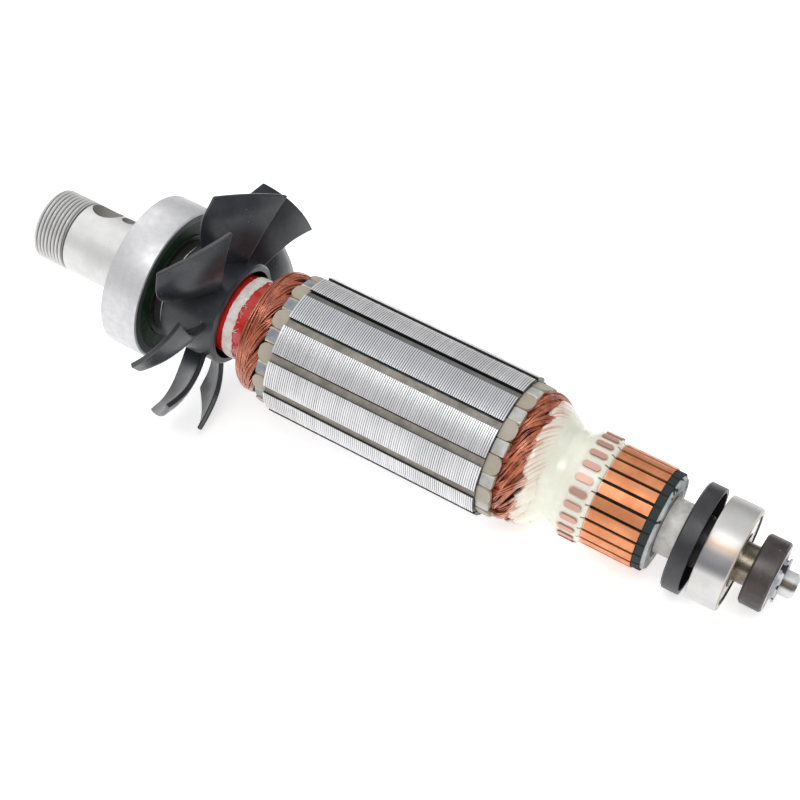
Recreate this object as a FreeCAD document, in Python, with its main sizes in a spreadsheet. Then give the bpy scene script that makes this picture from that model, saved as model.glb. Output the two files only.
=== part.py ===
import FreeCAD, Part
import math
import os
import re
import Sketcher

# Motor armature of a handheld router: collet spindle, two ball bearings, fan, wound core, commutator
# and magnet ring on one shaft. Millimetres. The shaft axis is +X, from the collet nose to the stub.
# The origin is on that axis, in the middle of the big bearing's width, and +Z is up.
# Angles are right-handed about +X from +Y, in degrees. Radii are half of the diameters below.

SIZES = {
    # big bearing, a 25 x 47 x 12 ball bearing
    "drive_ring_dia": 47.0,
    "drive_bore_dia": 25.0,
    "drive_width": 12.0,
    "drive_inner_land": 31.9,
    "drive_outer_land": 40.2,
    "drive_ball_dia": 6.35,
    "drive_ball_count": 10,
    # small bearing, a 10 x 30 x 9 ball bearing
    "rear_ring_dia": 30.0,
    "rear_bore_dia": 10.0,
    "rear_width": 9.0,
    "rear_inner_land": 15.4,
    "rear_outer_land": 24.8,
    "rear_ball_dia": 4.762,
    "rear_ball_count": 8,
    # shared bearing details
    "ball_gap": 0.05,
    "race_play": 0.12,
    "seal_thickness": 0.8,
    "seal_recess": 0.3,
    "seal_step": 0.5,
    "seal_lip_gap": 0.2,
    "cage_thickness": 0.9,
    "cage_rim": 0.75,
    "cage_pocket_play": 0.15,
    "ring_chamfer": 0.6,
    # collet nose
    "thread_dia": 22.0,
    "thread_pitch": 1.25,
    "thread_turns": 8.4,
    "thread_runout": 0.6,
    "thread_relief": 0.75,
    "nose_dia": 21.8,
    "nose_length": 34.2,
    "nose_chamfer": 0.7,
    "collet_mouth_dia": 17.4,
    "collet_bore_dia": 13.6,
    "collet_cone_length": 13.0,
    "collet_bore_depth": 46.0,
    "drill_point": 3.0,
    "lock_hole_dia": 9.4,
    "lock_hole_place": 16.0,
    "pin_hole_dia": 4.8,
    "pin_hole_place": 23.8,
    "hole_angle": 66.0,
    # shaft behind the big bearing
    "collar_dia": 28.6,
    "collar_width": 3.0,
    "fan_seat_dia": 20.0,
    "core_seat_dia": 13.0,
    "rear_seat_dia": 10.0,
    "stub_dia": 7.2,
    "stub_chamfer": 0.8,
    # cooling fan
    "cup_gap": 1.8,
    "hub_length": 18.2,
    "hub_wall": 1.9,
    "hub_cup_depth": 7.0,
    "hub_round": 1.2,
    "root_sink": 0.75,
    "fan_tip_dia": 74.6,
    "blade_count": 8,
    "blade_thickness": 1.7,
    "blade_lead": 6.2,
    "blade_depth": 12.5,
    "root_slant": 9.0,
    "fan_angle": 37.0,
    # insulating sleeves and tape
    "sleeve_dia": 24.0,
    "core_sleeve_dia": 16.0,
    "rear_sleeve_dia": 16.3,
    "tape_thickness": 0.5,
    "tape_gap": 1.1,
    "tape_width": 3.4,
    "winding_gap": 3.1,
    # laminated core
    "core_dia": 42.2,
    "core_length": 67.2,
    "slot_count": 12,
    "slot_opening": 2.8,
    "tooth_lip": 0.8,
    "tooth_slant": 0.6,
    "tooth_width": 4.4,
    "slot_floor_dia": 25.0,
    "slot_angle": 94.1,
    # insulators, liners and wedges
    "insulator_width": 3.9,
    "insulator_ring_dia": 24.4,
    "finger_drop": 1.5,
    "finger_chamfer": 0.4,
    "finger_root": 1.0,
    "liner_thickness": 0.35,
    "liner_stand": 2.9,
    "wedge_thickness": 0.9,
    "wedge_stand": 4.4,
    "wedge_round": 2.2,
    "wedge_gap": 0.1,
    # windings and resin
    "drive_winding_width": 9.5,
    "drive_winding_drop": 1.4,
    "rear_winding_width": 9.4,
    "rear_winding_drop": 1.6,
    "rear_winding_waist": 30.0,
    "winding_edge": 0.8,
    "resin_neck_dia": 27.0,
    "resin_cover": 0.3,
    "resin_neck_place": 2.6,
    "resin_neck_width": 2.5,
    "resin_edge": 0.8,
    "resin_width": 16.1,
    # commutator
    "bar_count": 24,
    "bar_dia": 29.6,
    "bar_depth": 3.0,
    "bed_rise": 0.8,
    "bar_length": 14.8,
    "bar_gap": 0.9,
    "riser_length": 6.8,
    "riser_drop": 0.6,
    "tang_width": 1.7,
    "tang_length": 4.8,
    "tang_place": 1.8,
    "tang_height": 0.9,
    "tang_sink": 0.5,
    "moulding_drop": 0.5,
    "bar_angle": 93.5,
    "notch_ring_width": 2.4,
    "notch_ring_drop": 0.4,
    "notch_width": 0.5,
    "notch_depth": 0.7,
    "end_ring_dia": 27.4,
    "end_ring_width": 1.0,
    "end_ring_chamfer": 0.4,
    # dust slinger, rear end and sensor magnet
    "slinger_gap": 5.8,
    "slinger_dia": 31.2,
    "slinger_width": 4.9,
    "slinger_wall": 1.2,
    "slinger_chamfer": 0.5,
    "slinger_hub_dia": 15.0,
    "spacer_dia": 14.4,
    "spacer_width": 1.9,
    "magnet_gap": 3.7,
    "magnet_dia": 20.2,
    "magnet_bush_dia": 11.4,
    "magnet_width": 6.7,
    "magnet_round": 0.6,
    "bush_stand": 0.9,
    "clip_dia": 12.6,
    "clip_thickness": 0.6,
    "stub_length": 15.9,
}

doc = FreeCAD.newDocument("armature")
sheet = doc.addObject("Spreadsheet::Sheet", "Sizes")
for row, (alias, number) in enumerate(SIZES.items(), 1):
    sheet.set(f"A{row}", alias)
    sheet.set(f"B{row}", str(number))
    sheet.setAlias(f"B{row}", alias)
doc.recompute()

X_AXIS = FreeCAD.Vector(1, 0, 0)


def bound(text):
    """An expression on the sheet: every size's name in text gets the sheet's own name in front."""
    return re.sub(r"[a-z]+(_[a-z]+)+", lambda word: "Sizes." + word.group(0), text)


def value(text):
    """What an expression is worth now."""
    return float(sheet.evalExpression(bound(text)))


# Places along the axis, each worked out from the widths of what stands before it.
bearing_left = "(-drive_width / 2)"
bearing_right = "(drive_width / 2)"
nose_end = f"({bearing_left} - nose_length)"
collar_end = f"({bearing_right} + collar_width)"
fan_end = f"({collar_end} + hub_length)"
sleeve_start = f"({fan_end} - hub_cup_depth)"
tape_end = f"({fan_end} + tape_gap + tape_width)"
winding_start = f"({tape_end} + winding_gap)"
drive_insulator = f"({winding_start} + drive_winding_width)"
core_start = f"({drive_insulator} + insulator_width)"
core_end = f"({core_start} + core_length)"
rear_insulator_end = f"({core_end} + insulator_width)"
resin_start = f"({rear_insulator_end} + rear_winding_width)"
bars_start = f"({resin_start} + resin_width)"
bars_end = f"({bars_start} + bar_length)"
notch_end = f"({bars_end} + notch_ring_width)"
end_ring_end = f"({notch_end} + end_ring_width)"
slinger_start = f"({end_ring_end} + slinger_gap)"
slinger_end = f"({slinger_start} + slinger_width)"
rear_left = f"({slinger_end} + spacer_width)"
rear_right = f"({rear_left} + rear_width)"
magnet_start = f"({rear_right} + magnet_gap)"
magnet_end = f"({magnet_start} + magnet_width)"
shaft_end = f"({rear_right} + stub_length)"


def plane_of(body, role):
    return next(plane for plane in body.Origin.OriginFeatures if plane.Role == role)


def new_sketch(body, role, name, lift="0"):
    """A sketch on one of the body's own planes, lifted along that plane's normal."""
    sketch = body.newObject("Sketcher::SketchObject", name)
    sketch.AttachmentSupport = [(plane_of(body, role), "")]
    sketch.MapMode = "FlatFace"
    sketch.AttachmentOffset = FreeCAD.Placement(FreeCAD.Vector(0, 0, value(lift)), FreeCAD.Rotation())
    sketch.setExpression("AttachmentOffset.Base.z", bound(lift))
    return sketch


def arc_between(start, end, radius):
    """The short arc from start to end, turning left for a positive radius and right for a negative one."""
    chord = end - start
    half = chord.Length / 2
    side = 1 if radius > 0 else -1
    reach = math.sqrt(max(radius * radius - half * half, 0.0))
    across = FreeCAD.Vector(-chord.y, chord.x, 0).normalize()
    centre = (start + end) * 0.5 + across * (side * reach)
    circle = Part.Circle(centre, FreeCAD.Vector(0, 0, 1), abs(radius))
    first, last = (start, end) if side > 0 else (end, start)
    return Part.ArcOfCircle(circle, circle.parameter(first), circle.parameter(last))


def hold(sketch, kind, numbers, text):
    """A constraint whose size follows an expression."""
    name = f"size{sketch.ConstraintCount}"
    index = sketch.addConstraint(Sketcher.Constraint(kind, *numbers, value(text)))
    sketch.renameConstraint(index, name)
    sketch.setExpression(f"Constraints.{name}", bound(text))


def draw_outline(sketch, points):
    """A closed outline through points (across, up), or (across, up, radius) where an arc follows."""
    corners = [FreeCAD.Vector(value(p[0]), value(p[1]), 0) for p in points]
    starts = []
    ends = []
    for number, point in enumerate(points):
        here, there = corners[number], corners[(number + 1) % len(points)]
        if len(point) == 3:
            radius = value(point[2])
            edge = sketch.addGeometry(arc_between(here, there, radius), False)
            starts.append((edge, 1 if radius > 0 else 2))
            ends.append((edge, 2 if radius > 0 else 1))
        else:
            edge = sketch.addGeometry(Part.LineSegment(here, there), False)
            starts.append((edge, 1))
            ends.append((edge, 2))
    for number, point in enumerate(points):
        sketch.addConstraint(Sketcher.Constraint("Coincident", *ends[number - 1], *starts[number]))
        hold(sketch, "DistanceX", (-1, 1, *starts[number]), point[0])
        hold(sketch, "DistanceY", (-1, 1, *starts[number]), point[1])
        if len(point) == 3:
            hold(sketch, "Radius", (starts[number][0],), f"abs({point[2]})")


def draw_circle(sketch, across, up, diameter):
    centre = FreeCAD.Vector(value(across), value(up), 0)
    circle = Part.Circle(centre, FreeCAD.Vector(0, 0, 1), value(diameter) / 2)
    edge = sketch.addGeometry(circle, False)
    hold(sketch, "DistanceX", (-1, 1, edge, 3), across)
    hold(sketch, "DistanceY", (-1, 1, edge, 3), up)
    hold(sketch, "Diameter", (edge,), diameter)


def turn(body, name, points, kind="PartDesign::Revolution"):
    """Turns a half section, given as (along the axis, radius), once round the shaft axis."""
    sketch = new_sketch(body, "XY_Plane", name + "_section")
    draw_outline(sketch, points)
    feature = body.newObject(kind, name)
    feature.Profile = sketch
    feature.ReferenceAxis = (sketch, ["H_Axis"])
    feature.Angle = 360
    return feature


def box_section(left, right, inner, outer):
    """The half section of a plain ring."""
    return [(left, inner), (right, inner), (right, outer), (left, outer)]


def raise_pad(body, sketch, name, length):
    """A pad along the sketch's normal."""
    pad = body.newObject("PartDesign::Pad", name)
    pad.Profile = sketch
    pad.setExpression("Length", bound(length))
    return pad


def ring_of(body, name, originals, count):
    """Repeats features round the shaft axis."""
    pattern = body.newObject("PartDesign::PolarPattern", name)
    pattern.Originals = originals
    pattern.Axis = (plane_of(body, "X_Axis"), [""])
    pattern.Angle = 360
    pattern.setExpression("Occurrences", bound(count))
    body.Tip = pattern
    return pattern


def turn_body(body, angle):
    """Turns a body about the shaft axis, so that what it has at 90 degrees comes to angle."""
    body.Placement = FreeCAD.Placement(FreeCAD.Vector(), FreeCAD.Rotation(X_AXIS, value(f"{angle} - 90")))
    body.setExpression("Placement.Rotation.Angle", bound(f"{angle} - 90"))


def new_body(label):
    return doc.addObject("PartDesign::Body", label)


def turned_piece(label, points):
    """A piece that is one turned section."""
    body = new_body(label)
    turn(body, label + "_turn", points)
    return body


def build_shaft():
    """Hollow-nosed spindle and shaft in one piece, with the collet cone and the two cross holes."""
    body = new_body("spindle_shaft")
    chamfer = f"({nose_end} + nose_chamfer)"
    thread_end = f"({nose_end} + thread_turns * thread_pitch)"
    relief_end = f"({thread_end} + thread_runout)"
    turn(body, "shaft_turn", [
        (nose_end, "0"),
        (nose_end, "thread_dia / 2 - nose_chamfer"),
        (chamfer, "thread_dia / 2"),
        (thread_end, "thread_dia / 2"),
        (thread_end, "thread_dia / 2 - thread_relief"),
        (relief_end, "thread_dia / 2 - thread_relief"),
        (relief_end, "nose_dia / 2"),
        (f"{bearing_left} - nose_chamfer", "nose_dia / 2"),
        (f"{bearing_left}", "drive_bore_dia / 2"),
        (bearing_right, "drive_bore_dia / 2"),
        (bearing_right, "collar_dia / 2"),
        (collar_end, "collar_dia / 2"),
        (collar_end, "fan_seat_dia / 2"),
        (sleeve_start, "fan_seat_dia / 2"),
        (sleeve_start, "core_seat_dia / 2"),
        (slinger_start, "core_seat_dia / 2"),
        (slinger_start, "rear_seat_dia / 2"),
        (rear_right, "rear_bore_dia / 2"),
        (rear_right, "stub_dia / 2"),
        (f"{shaft_end} - stub_chamfer", "stub_dia / 2"),
        (shaft_end, "stub_dia / 2 - stub_chamfer"),
        (shaft_end, "0"),
    ])
    cone_end = f"({nose_end} + collet_cone_length)"
    bore_end = f"({nose_end} + collet_bore_depth)"
    turn(body, "collet_bore", [
        (f"{nose_end} - nose_chamfer", "0"),
        (f"{nose_end} - nose_chamfer", "collet_mouth_dia / 2"),
        (nose_end, "collet_mouth_dia / 2"),
        (cone_end, "collet_bore_dia / 2"),
        (bore_end, "collet_bore_dia / 2"),
        (f"{bore_end} + drill_point", "0"),
    ], "PartDesign::Groove")
    hole_specs = (("lock_hole", "lock_hole_place", "lock_hole_dia", True),
                  ("pin_hole", "pin_hole_place", "pin_hole_dia", False))
    for name, place, diameter, through in hole_specs:
        sketch = new_sketch(body, "XY_Plane", name + "_circle")
        draw_circle(sketch, f"{nose_end} + {place}", "0", diameter)
        pocket = body.newObject("PartDesign::Pocket", name)
        pocket.Profile = sketch
        pocket.Reversed = True
        pocket.Midplane = through
        pocket.setExpression("Length", bound("thread_dia * 2" if through else "thread_dia"))
    turn_body(body, "hole_angle")
    return body


def half_disc(across, up, radius):
    """Half of a disc on its own diameter, which is the outline's first edge, in two quarter arcs."""
    return [
        (f"{across} - {radius}", up),
        (f"{across} + {radius}", up, radius),
        (across, f"{up} + {radius}", radius),
    ]


def build_bearing(kind, left):
    """One ball bearing: both rings with their race grooves, balls, cage and the two seals."""
    width, bore, outside = f"{kind}_width", f"{kind}_bore_dia / 2", f"{kind}_ring_dia / 2"
    inner_land, outer_land = f"{kind}_inner_land / 2", f"{kind}_outer_land / 2"
    right = f"({left} + {width})"
    middle = f"({left} + {width} / 2)"
    pitch = f"(({kind}_ring_dia + {kind}_bore_dia) / 4)"
    groove = f"({kind}_ball_dia / 2 + race_play)"
    depth = f"({kind}_ball_dia / 2 + ball_gap)"

    def race_half(land):
        """Half of the groove's width where it meets a ring's land."""
        height = f"({groove} - {depth} + abs({land} - {pitch}))"
        return f"sqrt({groove} ^ 2 - {height} ^ 2)"

    inner_half = race_half(inner_land)
    inner_ring = turned_piece(f"{kind}_bearing_inner_ring", [
        (f"{left} + ring_chamfer", bore),
        (f"{right} - ring_chamfer", bore),
        (right, f"{bore} + ring_chamfer"),
        (right, inner_land),
        (f"{middle} + {inner_half}", inner_land, f"-{groove}"),
        (f"{middle} - {inner_half}", inner_land),
        (left, inner_land),
        (left, f"{bore} + ring_chamfer"),
    ])
    outer_half = race_half(outer_land)
    step = f"({outer_land} + seal_step)"
    seal_floor = "(seal_recess + seal_thickness)"
    outer_ring = turned_piece(f"{kind}_bearing_outer_ring", [
        (left, step),
        (f"{left} + {seal_floor}", step),
        (f"{left} + {seal_floor}", outer_land),
        (f"{middle} - {outer_half}", outer_land, f"-{groove}"),
        (f"{middle} + {outer_half}", outer_land),
        (f"{right} - {seal_floor}", outer_land),
        (f"{right} - {seal_floor}", step),
        (right, step),
        (right, f"{outside} - ring_chamfer"),
        (f"{right} - ring_chamfer", outside),
        (f"{left} + ring_chamfer", outside),
        (left, f"{outside} - ring_chamfer"),
    ])
    seals = []
    lip = f"({inner_land} + seal_lip_gap)"
    for side, start in (("front", f"{left} + seal_recess"), ("back", f"{right} - {seal_floor}")):
        seals.append(turned_piece(f"{kind}_bearing_{side}_seal", box_section(
            start, f"{start} + seal_thickness", lip, step)))
    balls = new_body(f"{kind}_bearing_balls")
    ball = f"{kind}_ball_dia / 2"
    sketch = new_sketch(balls, "XY_Plane", f"{kind}_ball_section")
    draw_outline(sketch, half_disc(middle, pitch, ball))
    spin = balls.newObject("PartDesign::Revolution", f"{kind}_ball")
    spin.Profile = sketch
    spin.ReferenceAxis = (sketch, ["Edge1"])
    spin.Angle = 360
    ring_of(balls, f"{kind}_ball_ring", [spin], f"{kind}_ball_count")
    cage = new_body(f"{kind}_bearing_cage")
    half_cage = f"({kind}_ball_dia / 2 + cage_rim)"
    turn(cage, f"{kind}_cage_turn", box_section(
        f"{middle} - {half_cage}", f"{middle} + {half_cage}",
        f"{pitch} - cage_thickness", f"{pitch} + cage_thickness"))
    pocket_sketch = new_sketch(cage, "XY_Plane", f"{kind}_pocket_section")
    pocket_radius = f"({ball} + cage_pocket_play)"
    draw_outline(pocket_sketch, half_disc(middle, pitch, pocket_radius))
    pocket = cage.newObject("PartDesign::Groove", f"{kind}_pocket")
    pocket.Profile = pocket_sketch
    pocket.ReferenceAxis = (pocket_sketch, ["Edge1"])
    pocket.Angle = 360
    ring_of(cage, f"{kind}_pocket_ring", [pocket], f"{kind}_ball_count")
    return [inner_ring, outer_ring, *seals, balls, cage]


# The blade is a curved sheet. These are its sections, seen along its mean radius: the height above
# the axis as a share of the tip radius, where the leading and the trailing edge lie across, and the
# rise of the scoop between them, each as a share of the tip radius too. The first one lies within the
# wall of the hub's cup, wherever that stands.
BLADE_SECTIONS = (
    (0.35, 0.142, -0.051, 0.012),
    (0.56, 0.231, -0.088, 0.025),
    (0.72, 0.281, -0.161, 0.040),
    (0.86, 0.257, -0.298, 0.050),
    (1.01, 0.145, -0.483, 0.056),
)


cup_radius = "(sleeve_dia / 2 + cup_gap)"
hub_radius = f"({cup_radius} + hub_wall)"


def build_fan():
    """Moulded fan: cup-ended hub and eight scooped blades that sweep back towards their tips."""
    body = new_body("cooling_fan")
    turn(body, "hub", [
        (collar_end, "fan_seat_dia / 2"),
        (fan_end, "fan_seat_dia / 2"),
        (fan_end, f"{hub_radius} - hub_round"),
        (f"{fan_end} - hub_round", hub_radius),
        (f"{collar_end} + hub_round", hub_radius),
        (collar_end, f"{hub_radius} - hub_round"),
    ])
    tip = "(fan_tip_dia / 2)"
    lead = f"({collar_end} + blade_lead)"
    sections = []
    for number, (height, fore, aft, scoop) in enumerate(BLADE_SECTIONS):
        lift = f"{height} * {tip}" if number else f"{cup_radius} - root_sink"
        sketch = new_sketch(body, "XY_Plane", f"blade_section_{number}", lift)
        fore_y, aft_y = f"(-{fore} * {tip})", f"({-aft} * {tip})"
        reach = f"(blade_depth - root_slant * {round(1 - height, 2)} ^ 2)"
        trail = f"({lead} + {reach})"
        chord = f"sqrt({reach} ^ 2 + ({fore_y} - {aft_y}) ^ 2)"
        rise = f"({scoop} * {tip})"
        radius = f"(({chord} ^ 2 / 4 + {rise} ^ 2) / (2 * {rise}))"
        side_x = f"(blade_thickness / 2 * ({aft_y} - {fore_y}) / {chord})"
        side_y = f"(blade_thickness / 2 * {reach} / {chord})"
        draw_outline(sketch, [
            (f"{lead} - {side_x}", f"{fore_y} + {side_y}"),
            (f"{lead} + {side_x}", f"{fore_y} - {side_y}", f"({radius} + blade_thickness / 2)"),
            (f"{trail} + {side_x}", f"{aft_y} - {side_y}"),
            (f"{trail} - {side_x}", f"{aft_y} + {side_y}", f"-({radius} - blade_thickness / 2)"),
        ])
        sections.append(sketch)
    blade = body.newObject("PartDesign::AdditiveLoft", "blade")
    blade.Profile = sections[0]
    blade.Sections = sections[1:]
    ring_of(body, "blades", [blade], "blade_count")
    turn(body, "tip_trim", box_section(
        f"{collar_end} - blade_depth", f"{fan_end} + blade_depth", tip, f"{tip} * 2"), "PartDesign::Groove")
    turn(body, "hub_cup", box_section(
        sleeve_start, f"{fan_end} + blade_depth", "core_seat_dia / 2", cup_radius),
        "PartDesign::Groove")
    turn_body(body, "fan_angle + 90")
    return body


def build_shaft_sleeve():
    """Red insulating tube: thick from the fan's cup to the core, thin through the core's bore."""
    return turned_piece("shaft_sleeve", [
        (sleeve_start, "core_seat_dia / 2"),
        (resin_start, "core_seat_dia / 2"),
        (resin_start, "core_sleeve_dia / 2"),
        (drive_insulator, "core_sleeve_dia / 2"),
        (drive_insulator, "sleeve_dia / 2"),
        (sleeve_start, "sleeve_dia / 2"),
    ])


def build_tape():
    """Tape band wound round the sleeve beside the winding."""
    start = f"({tape_end} - tape_width)"
    return turned_piece("tape_band", box_section(
        start, tape_end, "sleeve_dia / 2", "sleeve_dia / 2 + tape_thickness"))


def wall_half(height, inset="0"):
    """Half of the slot's width at a height above the axis, less an inset from its walls."""
    return (f"({height} * tan(180 / slot_count) - tooth_width / 2 / cos(180 / slot_count)"
            f" - ({inset}) / cos(180 / slot_count))")


lip_foot = "(core_dia / 2 - tooth_lip)"
slot_top = "(core_dia / 2 - tooth_lip - tooth_slant)"
slot_floor = "(slot_floor_dia / 2)"
wedge_floor = f"({slot_top} - wedge_thickness)"


def slot_section(top, floor, inset):
    """The slot's own section below the lips, drawn in from its walls by an inset."""
    return [
        (f"-{wall_half(floor, inset)}", floor),
        (wall_half(floor, inset), floor),
        (wall_half(top, inset), top),
        (f"-{wall_half(top, inset)}", top),
    ]


def build_core():
    """Stacked laminations with twelve half-closed straight slots."""
    body = new_body("laminated_core")
    ring = new_sketch(body, "YZ_Plane", "core_ring", core_start)
    draw_circle(ring, "0", "0", "core_dia")
    draw_circle(ring, "0", "0", "core_sleeve_dia")
    raise_pad(body, ring, "core_pad", "core_length")
    slot = new_sketch(body, "YZ_Plane", "slot_outline", core_start)
    above = "(core_dia / 2 + tooth_lip)"
    draw_outline(slot, [
        ("-slot_opening / 2", above),
        ("-slot_opening / 2", lip_foot),
        (f"-{wall_half(slot_top)}", slot_top),
        (f"-{wall_half(slot_floor)}", slot_floor),
        (wall_half(slot_floor), slot_floor),
        (wall_half(slot_top), slot_top),
        ("slot_opening / 2", lip_foot),
        ("slot_opening / 2", above),
    ])
    pocket = body.newObject("PartDesign::Pocket", "slot")
    pocket.Profile = slot
    pocket.Reversed = True
    pocket.setExpression("Length", bound("core_length"))
    ring_of(body, "slots", [pocket], "slot_count")
    turn_body(body, "slot_angle")
    return body


def build_insulator(label, start):
    """End insulator: a ring with a finger standing on the end of every tooth."""
    body = new_body(label)
    ring = new_sketch(body, "YZ_Plane", label + "_ring", start)
    draw_circle(ring, "0", "0", "insulator_ring_dia")
    draw_circle(ring, "0", "0", "core_sleeve_dia")
    raise_pad(body, ring, label + "_pad", "insulator_width")
    finger = new_sketch(body, "YZ_Plane", label + "_finger_outline", start)
    foot, top = "(insulator_ring_dia / 2 - finger_root)", "(core_dia / 2 - finger_drop)"
    draw_outline(finger, [
        ("-tooth_width / 2", foot),
        ("tooth_width / 2", foot),
        ("tooth_width / 2", f"{top} - finger_chamfer"),
        ("tooth_width / 2 - finger_chamfer", top),
        ("finger_chamfer - tooth_width / 2", top),
        ("-tooth_width / 2", f"{top} - finger_chamfer"),
    ])
    pad = raise_pad(body, finger, label + "_finger", "insulator_width")
    ring_of(body, label + "_fingers", [pad], "slot_count")
    turn_body(body, "slot_angle + 180 / slot_count")
    return body


def build_slot_liners():
    """Insulating paper cell round each slot's conductors, open at the top, standing out of the core."""
    body = new_body("slot_liners")
    sketch = new_sketch(body, "YZ_Plane", "liner_outline", f"{core_start} - liner_stand")
    floor = f"({slot_floor} + liner_thickness)"
    draw_outline(sketch, [
        (f"-{wall_half(slot_floor)}", slot_floor),
        (wall_half(slot_floor), slot_floor),
        (wall_half(wedge_floor), wedge_floor),
        (wall_half(wedge_floor, "liner_thickness"), wedge_floor),
        (wall_half(floor, "liner_thickness"), floor),
        (f"-{wall_half(floor, 'liner_thickness')}", floor),
        (f"-{wall_half(wedge_floor, 'liner_thickness')}", wedge_floor),
        (f"-{wall_half(wedge_floor)}", wedge_floor),
    ])
    pad = raise_pad(body, sketch, "liner", "core_length + 2 * liner_stand")
    ring_of(body, "liners", [pad], "slot_count")
    turn_body(body, "slot_angle")
    return body


def build_slot_wedges():
    """Wedge that closes each slot under the lips, with a round tongue out of both ends of the core."""
    body = new_body("slot_wedges")
    sketch = new_sketch(body, "XY_Plane", "wedge_plan", wedge_floor)
    start, end = f"({core_start} - wedge_stand)", f"({core_end} + wedge_stand)"
    half = wall_half(wedge_floor)
    inner = f"({half} - wedge_round)"
    draw_outline(sketch, [
        (f"{start} + wedge_round", f"-{half}"),
        (f"{end} - wedge_round", f"-{half}", "wedge_round"),
        (end, f"-{inner}"),
        (end, inner, "wedge_round"),
        (f"{end} - wedge_round", half),
        (f"{start} + wedge_round", half, "wedge_round"),
        (start, inner),
        (start, f"-{inner}", "wedge_round"),
    ])
    pad = raise_pad(body, sketch, "wedge", "wedge_thickness")
    ring_of(body, "wedges", [pad], "slot_count")
    turn_body(body, "slot_angle")
    return body


def build_slot_conductors():
    """The coil sides that fill each slot, from one end winding to the other."""
    body = new_body("slot_conductors")
    sketch = new_sketch(body, "YZ_Plane", "conductor_outline", drive_insulator)
    floor = f"({slot_floor} + liner_thickness)"
    draw_outline(sketch, slot_section(wedge_floor, floor, "liner_thickness"))
    pad = raise_pad(body, sketch, "conductor", "core_length + 2 * insulator_width")
    ring_of(body, "conductors", [pad], "slot_count")
    turn_body(body, "slot_angle")
    return body


def build_drive_winding():
    """Rounded ring of coil ends between the tape and the drive-side insulator."""
    outside, start = "(core_dia / 2 - drive_winding_drop)", winding_start
    bend = "(drive_winding_width / 2)"
    tongue = f"({core_start} - wedge_stand)"
    return turned_piece("drive_end_winding", [
        (start, "sleeve_dia / 2"),
        (drive_insulator, "sleeve_dia / 2"),
        (drive_insulator, f"{wedge_floor} - wedge_gap"),
        (tongue, f"{wedge_floor} - wedge_gap"),
        (f"{tongue} - winding_edge", outside),
        (f"{start} + {bend}", outside, bend),
        (start, f"{outside} - {bend}"),
    ])


def build_rear_winding():
    """Coil ends on the commutator side, drawn in towards the risers."""
    tongue = f"({core_end} + wedge_stand)"
    return turned_piece("commutator_end_winding", [
        (rear_insulator_end, "core_sleeve_dia / 2"),
        (resin_start, "core_sleeve_dia / 2"),
        (resin_start, "rear_winding_waist / 2"),
        (f"{resin_start} - rear_winding_width / 2", "core_dia / 2 - rear_winding_drop - winding_edge"),
        (f"{tongue} + winding_edge", "core_dia / 2 - rear_winding_drop"),
        (tongue, f"{wedge_floor} - wedge_gap"),
        (rear_insulator_end, f"{wedge_floor} - wedge_gap"),
    ])


bar_foot = "(bar_dia / 2 - bar_depth)"
bar_bed = "(bar_dia / 2 - bar_depth + bed_rise)"
bar_corner = "(180 deg / bar_count - asin(bar_gap / bar_dia))"


def bar_half(height):
    """Half of a commutator bar's width at a height, so that the slots between bars are parallel."""
    return f"({height} * tan(180 / bar_count) - bar_gap / 2 / cos(180 / bar_count))"


def build_bars():
    """Copper commutator bars, each with a riser under the resin and a tang on the riser."""
    body = new_body("commutator_bars")
    side = f"(bar_dia / 2 * cos({bar_corner}))"
    bar = new_sketch(body, "YZ_Plane", "bar_outline", bars_start)
    draw_outline(bar, [
        (f"-{bar_half(bar_foot)}", bar_foot),
        (bar_half(bar_foot), bar_foot),
        (bar_half(side), side, "bar_dia / 2"),
        (f"-{bar_half(side)}", side),
    ])
    bar_pad = raise_pad(body, bar, "bar", "bar_length")
    riser = new_sketch(body, "YZ_Plane", "riser_outline", f"{bars_start} - riser_length")
    riser_top = "(bar_dia / 2 - riser_drop)"
    draw_outline(riser, [
        (f"-{bar_half(bar_foot)}", bar_foot),
        (bar_half(bar_foot), bar_foot),
        (bar_half(riser_top), riser_top),
        (f"-{bar_half(riser_top)}", riser_top),
    ])
    riser_pad = raise_pad(body, riser, "riser", "riser_length")
    tang = new_sketch(body, "XY_Plane", "tang_plan", f"{riser_top} - tang_sink")
    tang_end = f"({bars_start} - tang_place)"
    tang_start = f"({tang_end} - tang_length)"
    round_end = "(tang_width / 2)"
    draw_outline(tang, [
        (f"{tang_start} + {round_end}", f"-{round_end}"),
        (f"{tang_end} - {round_end}", f"-{round_end}", round_end),
        (tang_end, "0", round_end),
        (f"{tang_end} - {round_end}", round_end),
        (f"{tang_start} + {round_end}", round_end, round_end),
        (tang_start, "0", round_end),
    ])
    tang_pad = raise_pad(body, tang, "tang", "tang_height + riser_drop + tang_sink")
    ring_of(body, "bars", [bar_pad, riser_pad, tang_pad], "bar_count")
    turn_body(body, "bar_angle + 180 / bar_count")
    return body


def cut_piece(label, base, tool):
    """A piece made by taking another piece's shape out of it."""
    piece = doc.addObject("Part::Cut", label)
    piece.Base = base
    piece.Tool = tool
    return piece


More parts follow.
